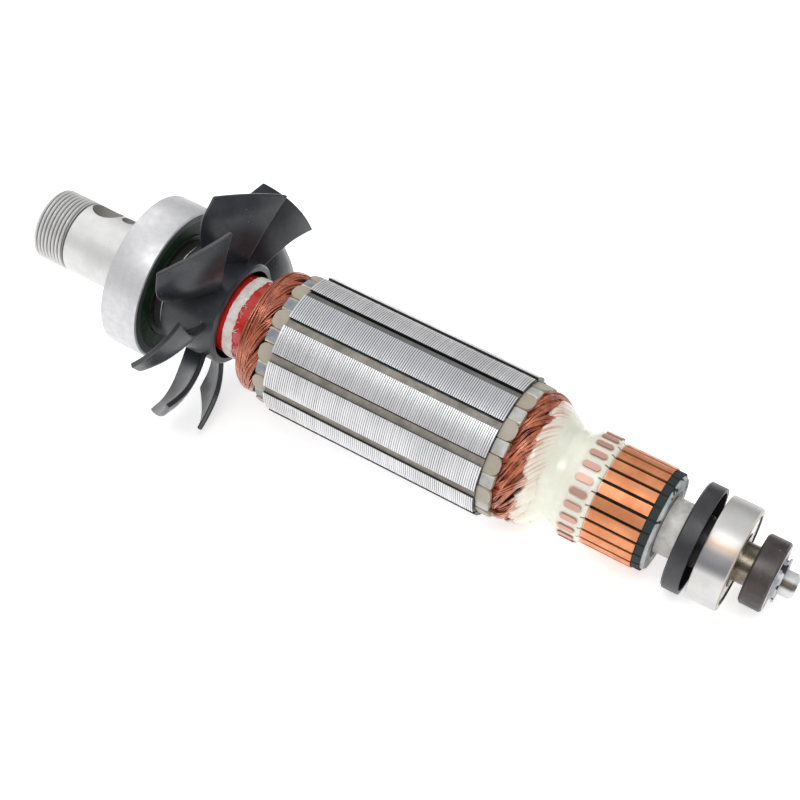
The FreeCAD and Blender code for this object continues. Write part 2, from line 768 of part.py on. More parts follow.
def build_resin(bars):
    """Impregnating resin over the wire ends and the risers, waisted behind the winding."""
    riser_start = f"({bars_start} - riser_length)"
    blank = turned_piece("resin_blank", [
        (resin_start, "rear_sleeve_dia / 2"),
        (riser_start, "rear_sleeve_dia / 2"),
        (riser_start, bar_bed),
        (bars_start, bar_bed),
        (bars_start, "bar_dia / 2 - moulding_drop"),
        (f"{bars_start} - resin_edge", "bar_dia / 2 + resin_cover"),
        (f"{riser_start} - resin_edge", "bar_dia / 2 + resin_cover"),
        (f"{resin_start} + resin_neck_place + resin_neck_width", "resin_neck_dia / 2"),
        (f"{resin_start} + resin_neck_place", "resin_neck_dia / 2"),
        (resin_start, "rear_winding_waist / 2"),
    ])
    return cut_piece("winding_resin", blank, bars)


def build_moulding(bars):
    """Dark moulded hub that carries the bars and shows between them, with a notched end ring."""
    body = new_body("moulding_blank")
    riser_start = f"({bars_start} - riser_length)"
    turn(body, "moulding_turn", [
        (riser_start, "rear_sleeve_dia / 2"),
        (notch_end, "rear_sleeve_dia / 2"),
        (notch_end, "bar_dia / 2 - notch_ring_drop"),
        (bars_end, "bar_dia / 2 - notch_ring_drop"),
        (bars_end, "bar_dia / 2 - moulding_drop"),
        (bars_start, "bar_dia / 2 - moulding_drop"),
        (bars_start, bar_bed),
        (riser_start, bar_bed),
    ])
    notch = new_sketch(body, "XY_Plane", "notch_plan", "bar_dia / 2 - notch_depth")
    draw_outline(notch, [
        (bars_end, "-notch_width / 2"),
        (f"{notch_end} + notch_width", "-notch_width / 2"),
        (f"{notch_end} + notch_width", "notch_width / 2"),
        (bars_end, "notch_width / 2"),
    ])
    pocket = body.newObject("PartDesign::Pocket", "notch")
    pocket.Profile = notch
    pocket.Reversed = True
    pocket.setExpression("Length", bound("notch_depth * 2"))
    ring_of(body, "notches", [pocket], "bar_count")
    turn_body(body, "bar_angle")
    return cut_piece("commutator_moulding", body, bars)


def build_end_ring():
    """Pale ring that closes the commutator."""
    return turned_piece("commutator_end_ring", [
        (notch_end, "rear_sleeve_dia / 2"),
        (end_ring_end, "rear_sleeve_dia / 2"),
        (end_ring_end, "end_ring_dia / 2 - end_ring_chamfer"),
        (f"{end_ring_end} - end_ring_chamfer", "end_ring_dia / 2"),
        (notch_end, "end_ring_dia / 2"),
    ])


def build_rear_sleeve():
    """White insulating tube under the commutator, out to the dust slinger."""
    return turned_piece("commutator_sleeve", box_section(
        resin_start, slinger_start, "core_seat_dia / 2", "rear_sleeve_dia / 2"))


def build_slinger():
    """Dust slinger: a cup that opens towards the small bearing."""
    return turned_piece("dust_slinger", [
        (slinger_start, "rear_seat_dia / 2"),
        (slinger_end, "rear_seat_dia / 2"),
        (slinger_end, "slinger_hub_dia / 2"),
        (f"{slinger_start} + slinger_wall", "slinger_hub_dia / 2"),
        (f"{slinger_start} + slinger_wall", "slinger_dia / 2 - slinger_wall"),
        (slinger_end, "slinger_dia / 2 - slinger_wall"),
        (slinger_end, "slinger_dia / 2"),
        (f"{slinger_start} + slinger_chamfer", "slinger_dia / 2"),
        (slinger_start, "slinger_dia / 2 - slinger_chamfer"),
    ])


def build_spacer():
    """Spacer ring between the slinger and the small bearing's inner ring."""
    return turned_piece("bearing_spacer", box_section(
        slinger_end, rear_left, "rear_seat_dia / 2", "spacer_dia / 2"))


def build_magnet():
    """Sensor magnet ring with rounded edges."""
    outside, inside = "(magnet_dia / 2)", "(magnet_bush_dia / 2)"
    return turned_piece("sensor_magnet", [
        (magnet_start, inside),
        (magnet_end, inside),
        (magnet_end, f"{outside} - magnet_round"),
        (f"{magnet_end} - magnet_round", outside),
        (f"{magnet_start} + magnet_round", outside),
        (magnet_start, f"{outside} - magnet_round"),
    ])


def build_magnet_bush():
    """Bush that carries the magnet on the stub, clear of the small bearing's outer ring."""
    return turned_piece("magnet_bush", box_section(
        rear_right, f"{magnet_end} + bush_stand", "stub_dia / 2", "magnet_bush_dia / 2"))


def build_clip():
    """Retaining clip on the stub, hard against the bush."""
    start = f"({magnet_end} + bush_stand)"
    return turned_piece("magnet_clip", box_section(
        start, f"{start} + clip_thickness", "stub_dia / 2", "clip_dia / 2"))


def build_all():
    """Every sub-part that is written, in the order in which they sit along the shaft."""
    bars = build_bars()
    return [
        build_shaft(),
        *build_bearing("drive", bearing_left),
        build_fan(),
        build_shaft_sleeve(),
        build_tape(),
        build_drive_winding(),
        build_insulator("drive_end_insulator", drive_insulator),
        build_core(),
        build_slot_liners(),
        build_slot_wedges(),
        build_slot_conductors(),
        build_insulator("commutator_end_insulator", core_end),
        build_rear_winding(),
        build_resin(bars),
        bars,
        build_moulding(bars),
        build_end_ring(),
        build_rear_sleeve(),
        build_slinger(),
        build_spacer(),
        *build_bearing("rear", rear_left),
        build_magnet_bush(),
        build_magnet(),
        build_clip(),
    ]


def check_and_write(pieces):
    """Stops on a failed object or an empty or invalid shape, then writes one file for each piece."""
    failed = [item.Name for item in doc.Objects if set(item.State) & {"Invalid", "Error"}]
    if failed:
        raise RuntimeError("failed objects: " + ", ".join(failed))
    for piece in pieces:
        if piece.Shape.isNull() or not piece.Shape.isValid():
            raise RuntimeError("bad shape: " + piece.Label)
    os.makedirs("parts", exist_ok=True)
    for piece in pieces:
        piece.Shape.exportStep(f"parts/{piece.Label}.step")
        size = piece.Shape.BoundBox
        print(f"{piece.Label:30s} solids {len(piece.Shape.Solids):3d} volume {piece.Shape.Volume:10.1f}"
              f" x {size.XMin:7.2f} {size.XMax:7.2f} z {size.ZMin:7.2f} {size.ZMax:7.2f}")


sub_parts = build_all()
doc.recompute()
check_and_write(sub_parts)
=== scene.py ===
"""The looks of the motor armature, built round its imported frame. Outlines are in millimetres."""
import math
import random

import bmesh
import bpy
from mathutils import Matrix, Vector


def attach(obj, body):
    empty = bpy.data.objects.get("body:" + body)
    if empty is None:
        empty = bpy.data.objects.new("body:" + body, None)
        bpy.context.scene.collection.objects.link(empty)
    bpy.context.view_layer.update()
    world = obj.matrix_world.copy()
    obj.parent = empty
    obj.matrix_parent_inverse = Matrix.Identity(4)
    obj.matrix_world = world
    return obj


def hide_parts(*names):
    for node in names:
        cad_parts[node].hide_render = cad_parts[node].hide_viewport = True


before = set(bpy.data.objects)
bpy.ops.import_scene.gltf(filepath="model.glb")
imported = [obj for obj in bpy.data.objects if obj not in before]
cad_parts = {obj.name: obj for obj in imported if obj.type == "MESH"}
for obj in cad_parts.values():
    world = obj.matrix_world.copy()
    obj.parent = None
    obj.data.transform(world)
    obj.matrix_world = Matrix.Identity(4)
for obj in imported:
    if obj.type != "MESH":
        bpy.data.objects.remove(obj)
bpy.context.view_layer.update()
scene = bpy.context.scene
MM = 0.001

# Places along the shaft
NOSE_END, SHAFT_END = -40.2, 200.5
THREAD_START, THREAD_END, RELIEF_START, RELIEF_END = -39.6, -29.45, -29.7, -29.1
COLLAR_START, COLLAR_END = 6.0, 9.0
FAN_SEAT_END, HUB_END = 20.2, 27.2
TAPE_START, TAPE_END = 28.3, 31.7
FAN_SIDE_CORE, REAR_CORE = 48.2, 115.4
REAR_COIL_START, REAR_COIL_END = 119.3, 128.7
RESIN_START, BARS_START, BARS_END = 123.6, 144.8, 159.7
SLINGER_START, RING_FACE, MAGNET_FACE = 168.8, 184.2, 194.93

# Radii
NOSE, THREAD_CREST, COLLET_BORE, COLLAR = 10.9, 11.0, 6.8, 14.3
FAN_SEAT, CORE_SEAT, REAR_SEAT = 10.0, 6.5, 5.0
HUB, CUP, BLADE_ROOT, BLADE_TIP = 15.7, 13.8, 14.3, 37.3
SLEEVE, CORE_BORE, CORE, TANG_RING = 12.0, 8.0, 21.1, 15.1

# How many there are, and where round the shaft they lie, in degrees from +Y towards +Z
SLOTS, SLOT_ANGLE = 12, 94.1
BARS, BAR_ANGLE = 24, 93.5
BLADES, FAN_ANGLE, HOLE_ANGLE = 8, 127.0, 66.0

SHEETS = 103
THREAD_PITCH, THREAD_DEPTH = 1.25, 0.66
BLADE_START, BLADE_DEPTH, ROOT_SLANT = 15.2, 12.5, 9.0
FLOAT, COLOUR = "NodeSocketFloat", "NodeSocketColor"


# ---- materials

def node(tree, kind, **values):
    """A node with its settings, and its inputs by name, linked where a value is a socket."""
    made = tree.nodes.new(kind)
    for key, given in values.items():
        name = key.replace("__", " ")
        if hasattr(made, key) and name not in made.inputs:
            setattr(made, key, given)
        elif isinstance(given, bpy.types.NodeSocket):
            tree.links.new(given, made.inputs[name])
        else:
            made.inputs[name].default_value = given
    return made


def reckon(tree, operation, first, second=0.0):
    """One step of arithmetic between sockets or numbers."""
    made = node(tree, "ShaderNodeMath", operation=operation)
    for index, given in enumerate((first, second)):
        if isinstance(given, bpy.types.NodeSocket):
            tree.links.new(given, made.inputs[index])
        else:
            made.inputs[index].default_value = given
    return made.outputs[0]


def product(tree, first, *others):
    """Masks and numbers multiplied with one another."""
    for other in others:
        first = reckon(tree, "MULTIPLY", first, other)
    return first


def mixed(tree, mask, first, second):
    """The first colour, and the second where the mask is one; either may be a socket."""
    mix = node(tree, "ShaderNodeMix", data_type="RGBA")
    tree.links.new(mask, mix.inputs["Factor"])
    for index, colour in ((6, first), (7, second)):
        if isinstance(colour, bpy.types.NodeSocket):
            tree.links.new(colour, mix.inputs[index])
        else:
            mix.inputs[index].default_value = (*colour, 1.0)
    return mix.outputs[2]


def object_place(tree):
    return node(tree, "ShaderNodeTexCoord").outputs["Object"]


def noise(tree, scale, detail):
    """Uneven patches in space, as values round one half."""
    made = node(tree, "ShaderNodeTexNoise", Scale=scale, Detail=detail, Vector=object_place(tree))
    return made.outputs["Fac"]


def number_noise(tree, number):
    """A random value from 0 to 1 for each number."""
    return node(tree, "ShaderNodeTexWhiteNoise", noise_dimensions="1D", W=number).outputs["Value"]


def between(tree, place, start, end, soft):
    """A mask that is one from start to end, with soft edges."""
    rise = node(tree, "ShaderNodeMapRange", Value=place, From__Min=start - soft, From__Max=start + soft)
    fall = node(tree, "ShaderNodeMapRange", Value=place, From__Min=end + soft, From__Max=end - soft)
    return product(tree, rise.outputs["Result"], fall.outputs["Result"])


def effect(name, inputs, outputs):
    """A shader group; returned with the sockets that bring its inputs in and those that take its outputs."""
    group = bpy.data.node_groups.new(name, "ShaderNodeTree")
    for label, kind, default in inputs:
        socket = group.interface.new_socket(label, in_out="INPUT", socket_type=kind)
        socket.default_value = default
    for label, kind in outputs:
        group.interface.new_socket(label, in_out="OUTPUT", socket_type=kind)
    return group, group.nodes.new("NodeGroupInput").outputs, group.nodes.new("NodeGroupOutput").inputs


def make_turning_lines():
    """Fine lines left by a turning tool: they run round the shaft and vary along it."""
    group, given, out = effect("turning_lines", [("Scale", FLOAT, 4000.0)], [("Height", FLOAT)])
    along = node(group, "ShaderNodeSeparateXYZ", Vector=object_place(group)).outputs["X"]
    fine = product(group, along, given["Scale"])
    lines = node(group, "ShaderNodeTexNoise", noise_dimensions="1D", W=fine, Scale=1.0, Detail=2.0)
    group.links.new(lines.outputs["Fac"], out["Height"])
    return group


def make_cloudy():
    """Slow, uneven change between two colours, as of handling, flux or ageing."""
    group, given, out = effect(
        "cloudy", [("Light", COLOUR, (1, 1, 1, 1)), ("Dark", COLOUR, (0, 0, 0, 1)), ("Scale", FLOAT, 120.0)],
        [("Color", COLOUR), ("Amount", FLOAT)])
    clouds = node(group, "ShaderNodeTexNoise", Vector=object_place(group), Scale=given["Scale"], Detail=5.0,
                  Roughness=0.62)
    spread = node(group, "ShaderNodeMapRange", Value=clouds.outputs["Fac"], From__Min=0.36, From__Max=0.66)
    amount = spread.outputs["Result"]
    group.links.new(mixed(group, amount, given["Dark"], given["Light"]), out["Color"])
    group.links.new(amount, out["Amount"])
    return group


def make_specks():
    """Small separate specks, such as dust or pits."""
    group, given, out = effect(
        "specks", [("Scale", FLOAT, 900.0), ("Size", FLOAT, 0.12), ("Share", FLOAT, 0.2)], [("Mask", FLOAT)])
    cells = node(group, "ShaderNodeTexVoronoi", Vector=object_place(group), Scale=given["Scale"]).outputs
    small = reckon(group, "LESS_THAN", cells["Distance"], given["Size"])
    pick = node(group, "ShaderNodeSeparateColor", Color=cells["Color"]).outputs["Red"]
    chosen = reckon(group, "LESS_THAN", pick, given["Share"])
    group.links.new(product(group, small, chosen), out["Mask"])
    return group


def make_shaft_place():
    """Where a point lies: along the shaft and out from it in millimetres, and round it in whole turns."""
    group, _, out = effect("shaft_place", [], [(label, FLOAT) for label in ("Along", "Radius", "Turn")])
    split = node(group, "ShaderNodeSeparateXYZ", Vector=object_place(group)).outputs
    squares = [product(group, split[axis], split[axis]) for axis in ("Y", "Z")]
    back = [product(group, split[axis], -1.0) for axis in ("Z", "Y")]
    turn = product(group, reckon(group, "ARCTAN2", *back), 1 / math.tau)
    radius = reckon(group, "SQRT", reckon(group, "ADD", *squares))
    group.links.new(product(group, split["X"], 1000.0), out["Along"])
    group.links.new(product(group, radius, 1000.0), out["Radius"])
    group.links.new(reckon(group, "ADD", turn, 0.5), out["Turn"])
    return group


TURNING, CLOUDY, SPECKS, PLACE = make_turning_lines(), make_cloudy(), make_specks(), make_shaft_place()


def use(tree, group, **values):
    """An effect placed in a material with its own values."""
    made = tree.nodes.new("ShaderNodeGroup")
    made.node_tree = group
    for name, given in values.items():
        made.inputs[name].default_value = (*given, 1.0) if isinstance(given, tuple) else given
    return made.outputs


def shader_of(material):
    return material.node_tree.nodes["Principled BSDF"]


def finish_of(name, light, dark, roughness, metallic, clouds, bump, lines=None, specks=None, coat=0.0,
              specular=0.5):
    """A surface between two colours, with turning lines or a grain in its relief and specks on top."""
    material = bpy.data.materials.new(name)
    material.use_nodes = True
    tree, shader = material.node_tree, shader_of(material)
    shader.inputs["Metallic"].default_value = metallic
    shader.inputs["Coat Weight"].default_value = coat
    shader.inputs["Specular IOR Level"].default_value = specular
    tone = use(tree, CLOUDY, Light=light, Dark=dark, Scale=clouds)
    colour = tone["Color"]
    if specks:
        shade, scale, size, share = specks
        mask = use(tree, SPECKS, Scale=scale, Size=size, Share=share)["Mask"]
        colour = mixed(tree, mask, colour, shade)
    tree.links.new(colour, shader.inputs["Base Color"])
    low, high = roughness
    rough = node(tree, "ShaderNodeMapRange", Value=tone["Amount"], To__Min=high, To__Max=low)
    tree.links.new(rough.outputs["Result"], shader.inputs["Roughness"])
    height = use(tree, TURNING, Scale=lines)["Height"] if lines else noise(tree, 2600.0, 3.0)
    relief = node(tree, "ShaderNodeBump", Height=height, Strength=bump, Distance=0.0002)
    tree.links.new(relief.outputs["Normal"], shader.inputs["Normal"])
    return material


# name, light and dark colour, roughness from and to, metallic, scale of the clouds, strength of the relief
SPINDLE_STEEL = finish_of("spindle_steel", (0.76, 0.76, 0.75), (0.68, 0.68, 0.67), (0.42, 0.56), 0.4, 160,
                          0.3, lines=3500, specks=((0.3, 0.28, 0.25), 700, 0.1, 0.08))
RING_STEEL = finish_of("ring_steel", (0.7, 0.7, 0.71), (0.62, 0.62, 0.63), (0.36, 0.5), 0.4, 500, 0.2,
                       lines=5200)
RACE_STEEL = finish_of("race_steel", (0.68, 0.68, 0.67), (0.58, 0.57, 0.55), (0.34, 0.46), 0.65, 90, 0.12,
                       lines=5200, specks=((0.3, 0.28, 0.26), 420, 0.07, 0.1))
BUSH_STEEL = finish_of("bush_steel", (0.3, 0.25, 0.19), (0.12, 0.1, 0.08), (0.2, 0.32), 0.8, 240, 0.1)
# Near black: painted shade for the drive bearing's inner ring and the spacer, deep between other parts.
PAINTED_SHADE_STEEL = finish_of("painted_shade_steel", (0.05, 0.048, 0.042), (0.02, 0.02, 0.018), (0.3, 0.45), 0.3, 240,
                          0.2)
CLIP_STEEL = finish_of("clip_steel", (0.5, 0.5, 0.52), (0.3, 0.3, 0.32), (0.3, 0.42), 0.3, 240, 0.1)
CAGE_STEEL = finish_of("cage_steel", (0.55, 0.53, 0.48), (0.4, 0.38, 0.34), (0.3, 0.45), 0.9, 200, 0.1)
BALL_STEEL = finish_of("ball_steel", (0.8, 0.8, 0.8), (0.74, 0.74, 0.74), (0.06, 0.1), 1.0, 90, 0.0)
SHIELD_STEEL = finish_of("shield_steel", (0.75, 0.71, 0.62), (0.3, 0.26, 0.2), (0.08, 0.18), 1.0, 260, 0.05)
SEAL_RUBBER = finish_of("seal_rubber", (0.006, 0.05, 0.012), (0.002, 0.014, 0.005), (0.4, 0.55), 0.0, 260,
                        0.2, specular=0.3)
FAN_PLASTIC = finish_of("fan_plastic", (0.036, 0.04, 0.047), (0.014, 0.016, 0.02), (0.26, 0.38), 0.0, 110,
                        0.12, specks=((0.26, 0.27, 0.29), 800, 0.1, 0.16))
RED_TUBE = finish_of("red_tube", (0.66, 0.03, 0.024), (0.44, 0.014, 0.012), (0.12, 0.26), 0.0, 210, 0.15,
                     specks=((0.8, 0.45, 0.42), 520, 0.12, 0.07), coat=0.5)
WHITE_TAPE = finish_of("white_tape", (0.82, 0.79, 0.76), (0.64, 0.54, 0.49), (0.6, 0.75), 0.0, 420, 0.7)
WIRE_COPPER = finish_of("wire_copper", (0.6, 0.19, 0.095), (0.34, 0.085, 0.045), (0.2, 0.32), 0.3, 330, 0.05,
                        coat=0.6)
# Near black: painted shade deep in the windings, under the wires.
PAINTED_SHADE_COPPER = finish_of("painted_shade_copper", (0.05, 0.014, 0.01), (0.016, 0.007, 0.006), (0.5, 0.65), 0.0, 330, 0.1)
LEAD_COPPER = finish_of("lead_copper", (0.66, 0.2, 0.085), (0.24, 0.05, 0.026), (0.22, 0.34), 0.25, 420, 0.05,
                        coat=0.6)
INSULATOR = finish_of("insulator", (0.34, 0.37, 0.39), (0.2, 0.22, 0.235), (0.35, 0.5), 0.0, 300, 0.25)
REAR_INSULATOR = finish_of("rear_insulator_tops", (0.56, 0.56, 0.53), (0.38, 0.38, 0.36), (0.35, 0.5), 0.0,
                           300, 0.25)
CREAM_EDGE = finish_of("cream_edge", (0.78, 0.74, 0.66), (0.55, 0.5, 0.43), (0.4, 0.55), 0.0, 300, 0.2)
SLOT_STRIP = finish_of("slot_strip", (0.31, 0.29, 0.25), (0.17, 0.155, 0.13), (0.4, 0.55), 0.0, 220, 0.3)
BAR_COPPER = finish_of("bar_copper", (0.8, 0.33, 0.15), (0.64, 0.22, 0.085), (0.3, 0.42), 0.5, 150, 0.3,
                       lines=6500, specks=((0.4, 0.13, 0.06), 600, 0.08, 0.1))
DARK_MOULDING = finish_of("dark_moulding", (0.02, 0.011, 0.008), (0.01, 0.006, 0.005), (0.6, 0.75), 0.0, 200,
                          0.3, specular=0.2)
PALE_MOULDING = finish_of("pale_moulding", (0.6, 0.62, 0.62), (0.36, 0.38, 0.38), (0.4, 0.55), 0.0, 260, 0.2,
                          specks=((0.02, 0.02, 0.02), 330, 0.2, 0.3))
WHITE_TUBE = finish_of("white_tube", (0.76, 0.74, 0.7), (0.56, 0.54, 0.5), (0.35, 0.5), 0.0, 380, 0.3)
SLINGER = finish_of("slinger", (0.04, 0.04, 0.046), (0.024, 0.024, 0.028), (0.34, 0.46), 0.0, 160, 0.15)
MAGNET = finish_of("magnet", (0.068, 0.053, 0.05), (0.034, 0.027, 0.026), (0.34, 0.48), 0.0, 200, 0.2,
                   specks=((0.3, 0.28, 0.27), 700, 0.1, 0.06))
SHEET_STEEL = finish_of("sheet_steel", (0.88, 0.88, 0.89), (0.76, 0.76, 0.77), (0.3, 0.42), 0.5, 60, 0.1,
                        specks=((0.1, 0.09, 0.08), 300, 0.09, 0.04))
CREAM_RESIN = finish_of("cream_resin", (0.87, 0.87, 0.76), (0.78, 0.79, 0.66), (0.2, 0.34), 0.0, 130, 0.1,
                        coat=0.3)


class Layers:
    """Colours laid over one material, where masks cut from the place round the shaft let them."""

    def __init__(self, material):
        self.tree, self.shader = material.node_tree, shader_of(material)
        self.place = use(self.tree, PLACE)

    def along(self, start, end, soft):
        return between(self.tree, self.place["Along"], start, end, soft)

    def radius(self, start, end, soft):
        return between(self.tree, self.place["Radius"], start, end, soft)

    def turn(self, start, end, soft):
        return between(self.tree, self.place["Turn"], start, end, soft)

    def reckon(self, operation, first, second=0.0):
        return reckon(self.tree, operation, first, second)

    def counted(self, angle, count, shift=0.0):
        """How many of the count's steps lie between the angle and a point."""
        turned_by = self.reckon("SUBTRACT", self.place["Turn"], angle / 360)
        return self.reckon("ADD", self.reckon("MULTIPLY", turned_by, count), shift)

    def ragged(self, scale, detail, reach):
        """The place along the shaft, put forward unevenly by up to the reach."""
        put_forward = product(self.tree, noise(self.tree, scale, detail), reach)
        return self.reckon("ADD", self.place["Along"], put_forward)

    def tint(self, colour, *masks, metallic=None):
        """Lays the colour on; only the last layer with a metallic share sets that."""
        mask, inputs = product(self.tree, *masks), self.shader.inputs
        base = inputs["Base Color"].links[0].from_socket
        self.tree.links.new(mixed(self.tree, mask, base, colour), inputs["Base Color"])
        if metallic is not None:
            own = inputs["Metallic"].default_value
            change = self.reckon("MULTIPLY", mask, metallic - own)
            self.tree.links.new(self.reckon("ADD", change, own), inputs["Metallic"])


def every_fourth(layers, number):
    """A mask on one tooth or slot in four, the second one below the top in the photo's pose among them."""
    return layers.reckon("LESS_THAN", layers.reckon("MODULO", layers.reckon("ADD", number, 24.1), 4.0), 0.5)


def finish_spindle():
    """Painted shade on collar, thread root and hole walls, a painted highlight on the collar's edge; one
    streak is darker.
    """
    steel = Layers(SPINDLE_STEEL)
    # Painted shade on the collar, between the bearing and the dark fan.
    steel.tint((0.025, 0.025, 0.022), steel.along(5.0, 8.5, 0.05), steel.radius(12.2, 20.0, 0.1))
    # Painted highlight on the collar's edge.
    steel.tint((0.95, 0.95, 0.95), steel.along(8.5, 9.6, 0.05), steel.radius(13.7, 20.0, 0.05), metallic=0.0)
    # Painted shade in the thread root.
    steel.tint((0.2, 0.195, 0.19), steel.along(-45.0, -29.0, 0.05), steel.radius(10.0, 10.56, 0.16))
    # Painted shade on the hole walls.
    steel.tint((0.42, 0.41, 0.38), steel.along(-29.2, -11.0, 0.05), steel.radius(4.0, 10.72, 0.05))
    steel.tint((0.13, 0.11, 0.095), steel.along(196.0, 205.0, 0.05), steel.turn(0.34, 0.44, 0.02))


def finish_race():
    """Tan and grey bands of painted reflection lie along the small bearing's ring; its end face is warm with
    a dark inner line of painted shade.
    """
    steel = Layers(RACE_STEEL)
    # Painted reflection bands along the ring.
    bands = ((0.365, 0.016, (0.42, 0.27, 0.17)), (0.41, 0.034, (0.27, 0.265, 0.28)),
             (0.43, 0.008, (0.16, 0.17, 0.19)))
    for turn, width, colour in bands:
        steel.tint(colour, steel.turn(turn - width, turn + width, 0.014), 0.75)
    face = steel.along(RING_FACE, 190.0, 0.1)
    steel.tint((0.72, 0.67, 0.58), face, 0.8, metallic=0.2)
    steel.tint((0.35, 0.26, 0.18), face, steel.radius(14.3, 14.7, 0.08), 0.6)
    # Painted shade in the groove by the shield.
    steel.tint((0.06, 0.05, 0.04), face, steel.radius(10.0, 13.2, 0.08))


def ring_face_painted_reflection():
    """Painted reflection of the dark fan and painted shade on the big ring's end face."""
    steel = Layers(RING_STEEL)
    face = steel.along(5.93, 7.0, 0.03)
    steel.tint((0.06, 0.075, 0.072), face, steel.radius(10.0, 22.7, 0.15), metallic=0.2)


def finish_stub_end():
    """The end face of magnet, bush and clip is pale, with black marks round the stub."""
    for material in (MAGNET, BUSH_STEEL, CLIP_STEEL):
        end = Layers(material)
        face = end.along(MAGNET_FACE, 200.0, 0.03)
        end.tint((0.56, 0.56, 0.59), face, metallic=0.1)
        black = between(end.tree, noise(end.tree, 300.0, 1.0), 0.53, 2.0, 0.015)
        end.tint((0.02, 0.02, 0.03), black, end.radius(3.0, 8.6, 0.2), face)
        end.tint((0.06, 0.05, 0.05), end.radius(3.0, 4.5, 0.3), face)


def finish_end_ring():
    """The pale ring has a painted shadow line round the sleeve and black chips towards its edge."""
    ring = Layers(PALE_MOULDING)
    # Painted shadow line round the sleeve.
    ring.tint((0.03, 0.03, 0.03), ring.radius(0.0, 9.9, 0.15))
    black = between(ring.tree, noise(ring.tree, 420.0, 2.0), 0.6, 2.0, 0.015)
    ring.tint((0.02, 0.02, 0.02), black, ring.radius(10.6, 20.0, 0.3))


def finish_sheets():
    """Each sheet and each tooth has its own tone, and painted shade lies between the sheets and down the
    slots.
    """
    steel = Layers(SHEET_STEEL)
    behind = steel.reckon("SUBTRACT", steel.place["Along"], FAN_SIDE_CORE)
    sheet = steel.reckon("FLOOR", steel.reckon("MULTIPLY", behind, SHEETS / (REAR_CORE - FAN_SIDE_CORE)))
    steel.tint((0.42, 0.42, 0.43), number_noise(steel.tree, sheet), 0.25)
    tooth = steel.reckon("FLOOR", steel.counted(SLOT_ANGLE, SLOTS))
    grey = number_noise(steel.tree, steel.reckon("ADD", tooth, 21.5))
    steel.tint((0.4, 0.41, 0.43), grey, 0.15)
    steel.tint((0.42, 0.44, 0.47), every_fourth(steel, tooth), 0.45)
    # Painted shade between the sheets and down the slots.
    steel.tint((0.03, 0.028, 0.026), steel.radius(0.0, 21.01, 0.04), metallic=0.1)


def slinger_cup_painted_shade():
    """Painted shade inside the cup."""
    cup = Layers(SLINGER)
    cup.tint((0.012, 0.012, 0.016), cup.radius(6.0, 14.5, 0.05), cup.along(SLINGER_START + 1.0, 180.0, 0.1))


def finish_strips():
    """Painted shade beside each strip and darker on one in four; pale tan where the tongues stand out of the
    core.
    """
    strip = Layers(SLOT_STRIP)
    inside = strip.along(FAN_SIDE_CORE, REAR_CORE, 0.3)
    strip.tint((0.46, 0.41, 0.32), strip.reckon("SUBTRACT", 1.0, inside), 0.7)
    slot = strip.reckon("FLOOR", strip.counted(SLOT_ANGLE, SLOTS, 0.5))
    strip.tint((0.07, 0.078, 0.085), every_fourth(strip, slot), inside, 0.7)
    # Painted shade in the gap beside each strip.
    strip.tint((0.012, 0.011, 0.01), strip.radius(18.9, 19.98, 0.05), inside)


def finish_bars():
    """Dull pink on the risers and tangs under the resin's skin."""
    bar = Layers(BAR_COPPER)
    bar.tint((0.76, 0.44, 0.3), bar.along(100.0, 145.1, 0.15))
    riser = bar.along(100.0, 144.2, 0.1)
    bar.tint((0.62, 0.37, 0.29), riser)
    bar.tint((0.36, 0.2, 0.15), riser, bar.radius(0.0, 15.62, 0.04), metallic=0.0)


def finish_moulding():
    """Slate coloured from the bars' end on."""
    moulding = Layers(DARK_MOULDING)
    moulding.tint((0.028, 0.038, 0.04), moulding.along(BARS_END, 170.0, 0.05))


def finish_leads():
    """The leads turn pale and pink where the resin wets them."""
    lead = Layers(LEAD_COPPER)
    lead.tint((0.76, 0.5, 0.38), between(lead.tree, lead.ragged(160.0, 3.0, 6.0), 128.4, 200.0, 0.8), 0.75)


def finish_resin():
    """Copper shows in streaks where the leads run in, a brown line of painted shade rings every tang, and the
    slots run on.
    """
    resin = Layers(CREAM_RESIN)
    tree, reckoned, along = resin.tree, resin.reckon, resin.place["Along"]
    slant = reckoned("ADD", product(tree, resin.place["Turn"], 100.0), product(tree, along, 1.4))
    drawn = node(tree, "ShaderNodeCombineXYZ", X=slant, Y=product(tree, along, 0.12)).outputs[0]
    streaks = node(tree, "ShaderNodeTexNoise", noise_dimensions="2D", Scale=0.8, Detail=3.0, Vector=drawn)
    picked = between(tree, streaks.outputs["Fac"], 0.53, 2.0, 0.06)
    ragged = resin.ragged(110.0, 2.0, 7.0)
    resin.tint((0.6, 0.29, 0.21), picked, between(tree, ragged, 100.0, 131.0, 1.8))
    resin.tint((0.66, 0.48, 0.38), between(tree, ragged, 100.0, 131.5, 2.4), 0.32)
    step = resin.counted(BAR_ANGLE + 7.5, BARS, 8.5)
    aside = product(tree, reckoned("SUBTRACT", reckoned("FRACT", step), 0.5), math.tau * TANG_RING / BARS)
    ahead = reckoned("ABSOLUTE", reckoned("SUBTRACT", along, 140.6))
    ahead = reckoned("MAXIMUM", reckoned("SUBTRACT", ahead, 1.55), 0.0)
    away = reckoned("SQRT", reckoned("ADD", product(tree, aside, aside), product(tree, ahead, ahead)))
    # A brown line of painted shade where each tang meets the resin.
    resin.tint((0.46, 0.3, 0.25), between(tree, away, 0.6, 1.25, 0.2), 0.6)
    slot = between(tree, reckoned("ABSOLUTE", aside), 1.74, 3.0, 0.06)
    resin.tint((0.08, 0.04, 0.03), slot, resin.along(143.5, 146.0, 0.2))
    resin.tint((0.72, 0.62, 0.54), resin.along(137.0, 146.0, 0.6), 0.25)
    resin.shader.inputs["Subsurface Weight"].default_value = 0.2
    resin.shader.inputs["Subsurface Radius"].default_value = (0.004, 0.003, 0.002)
    resin.shader.inputs["Subsurface Scale"].default_value = 0.4


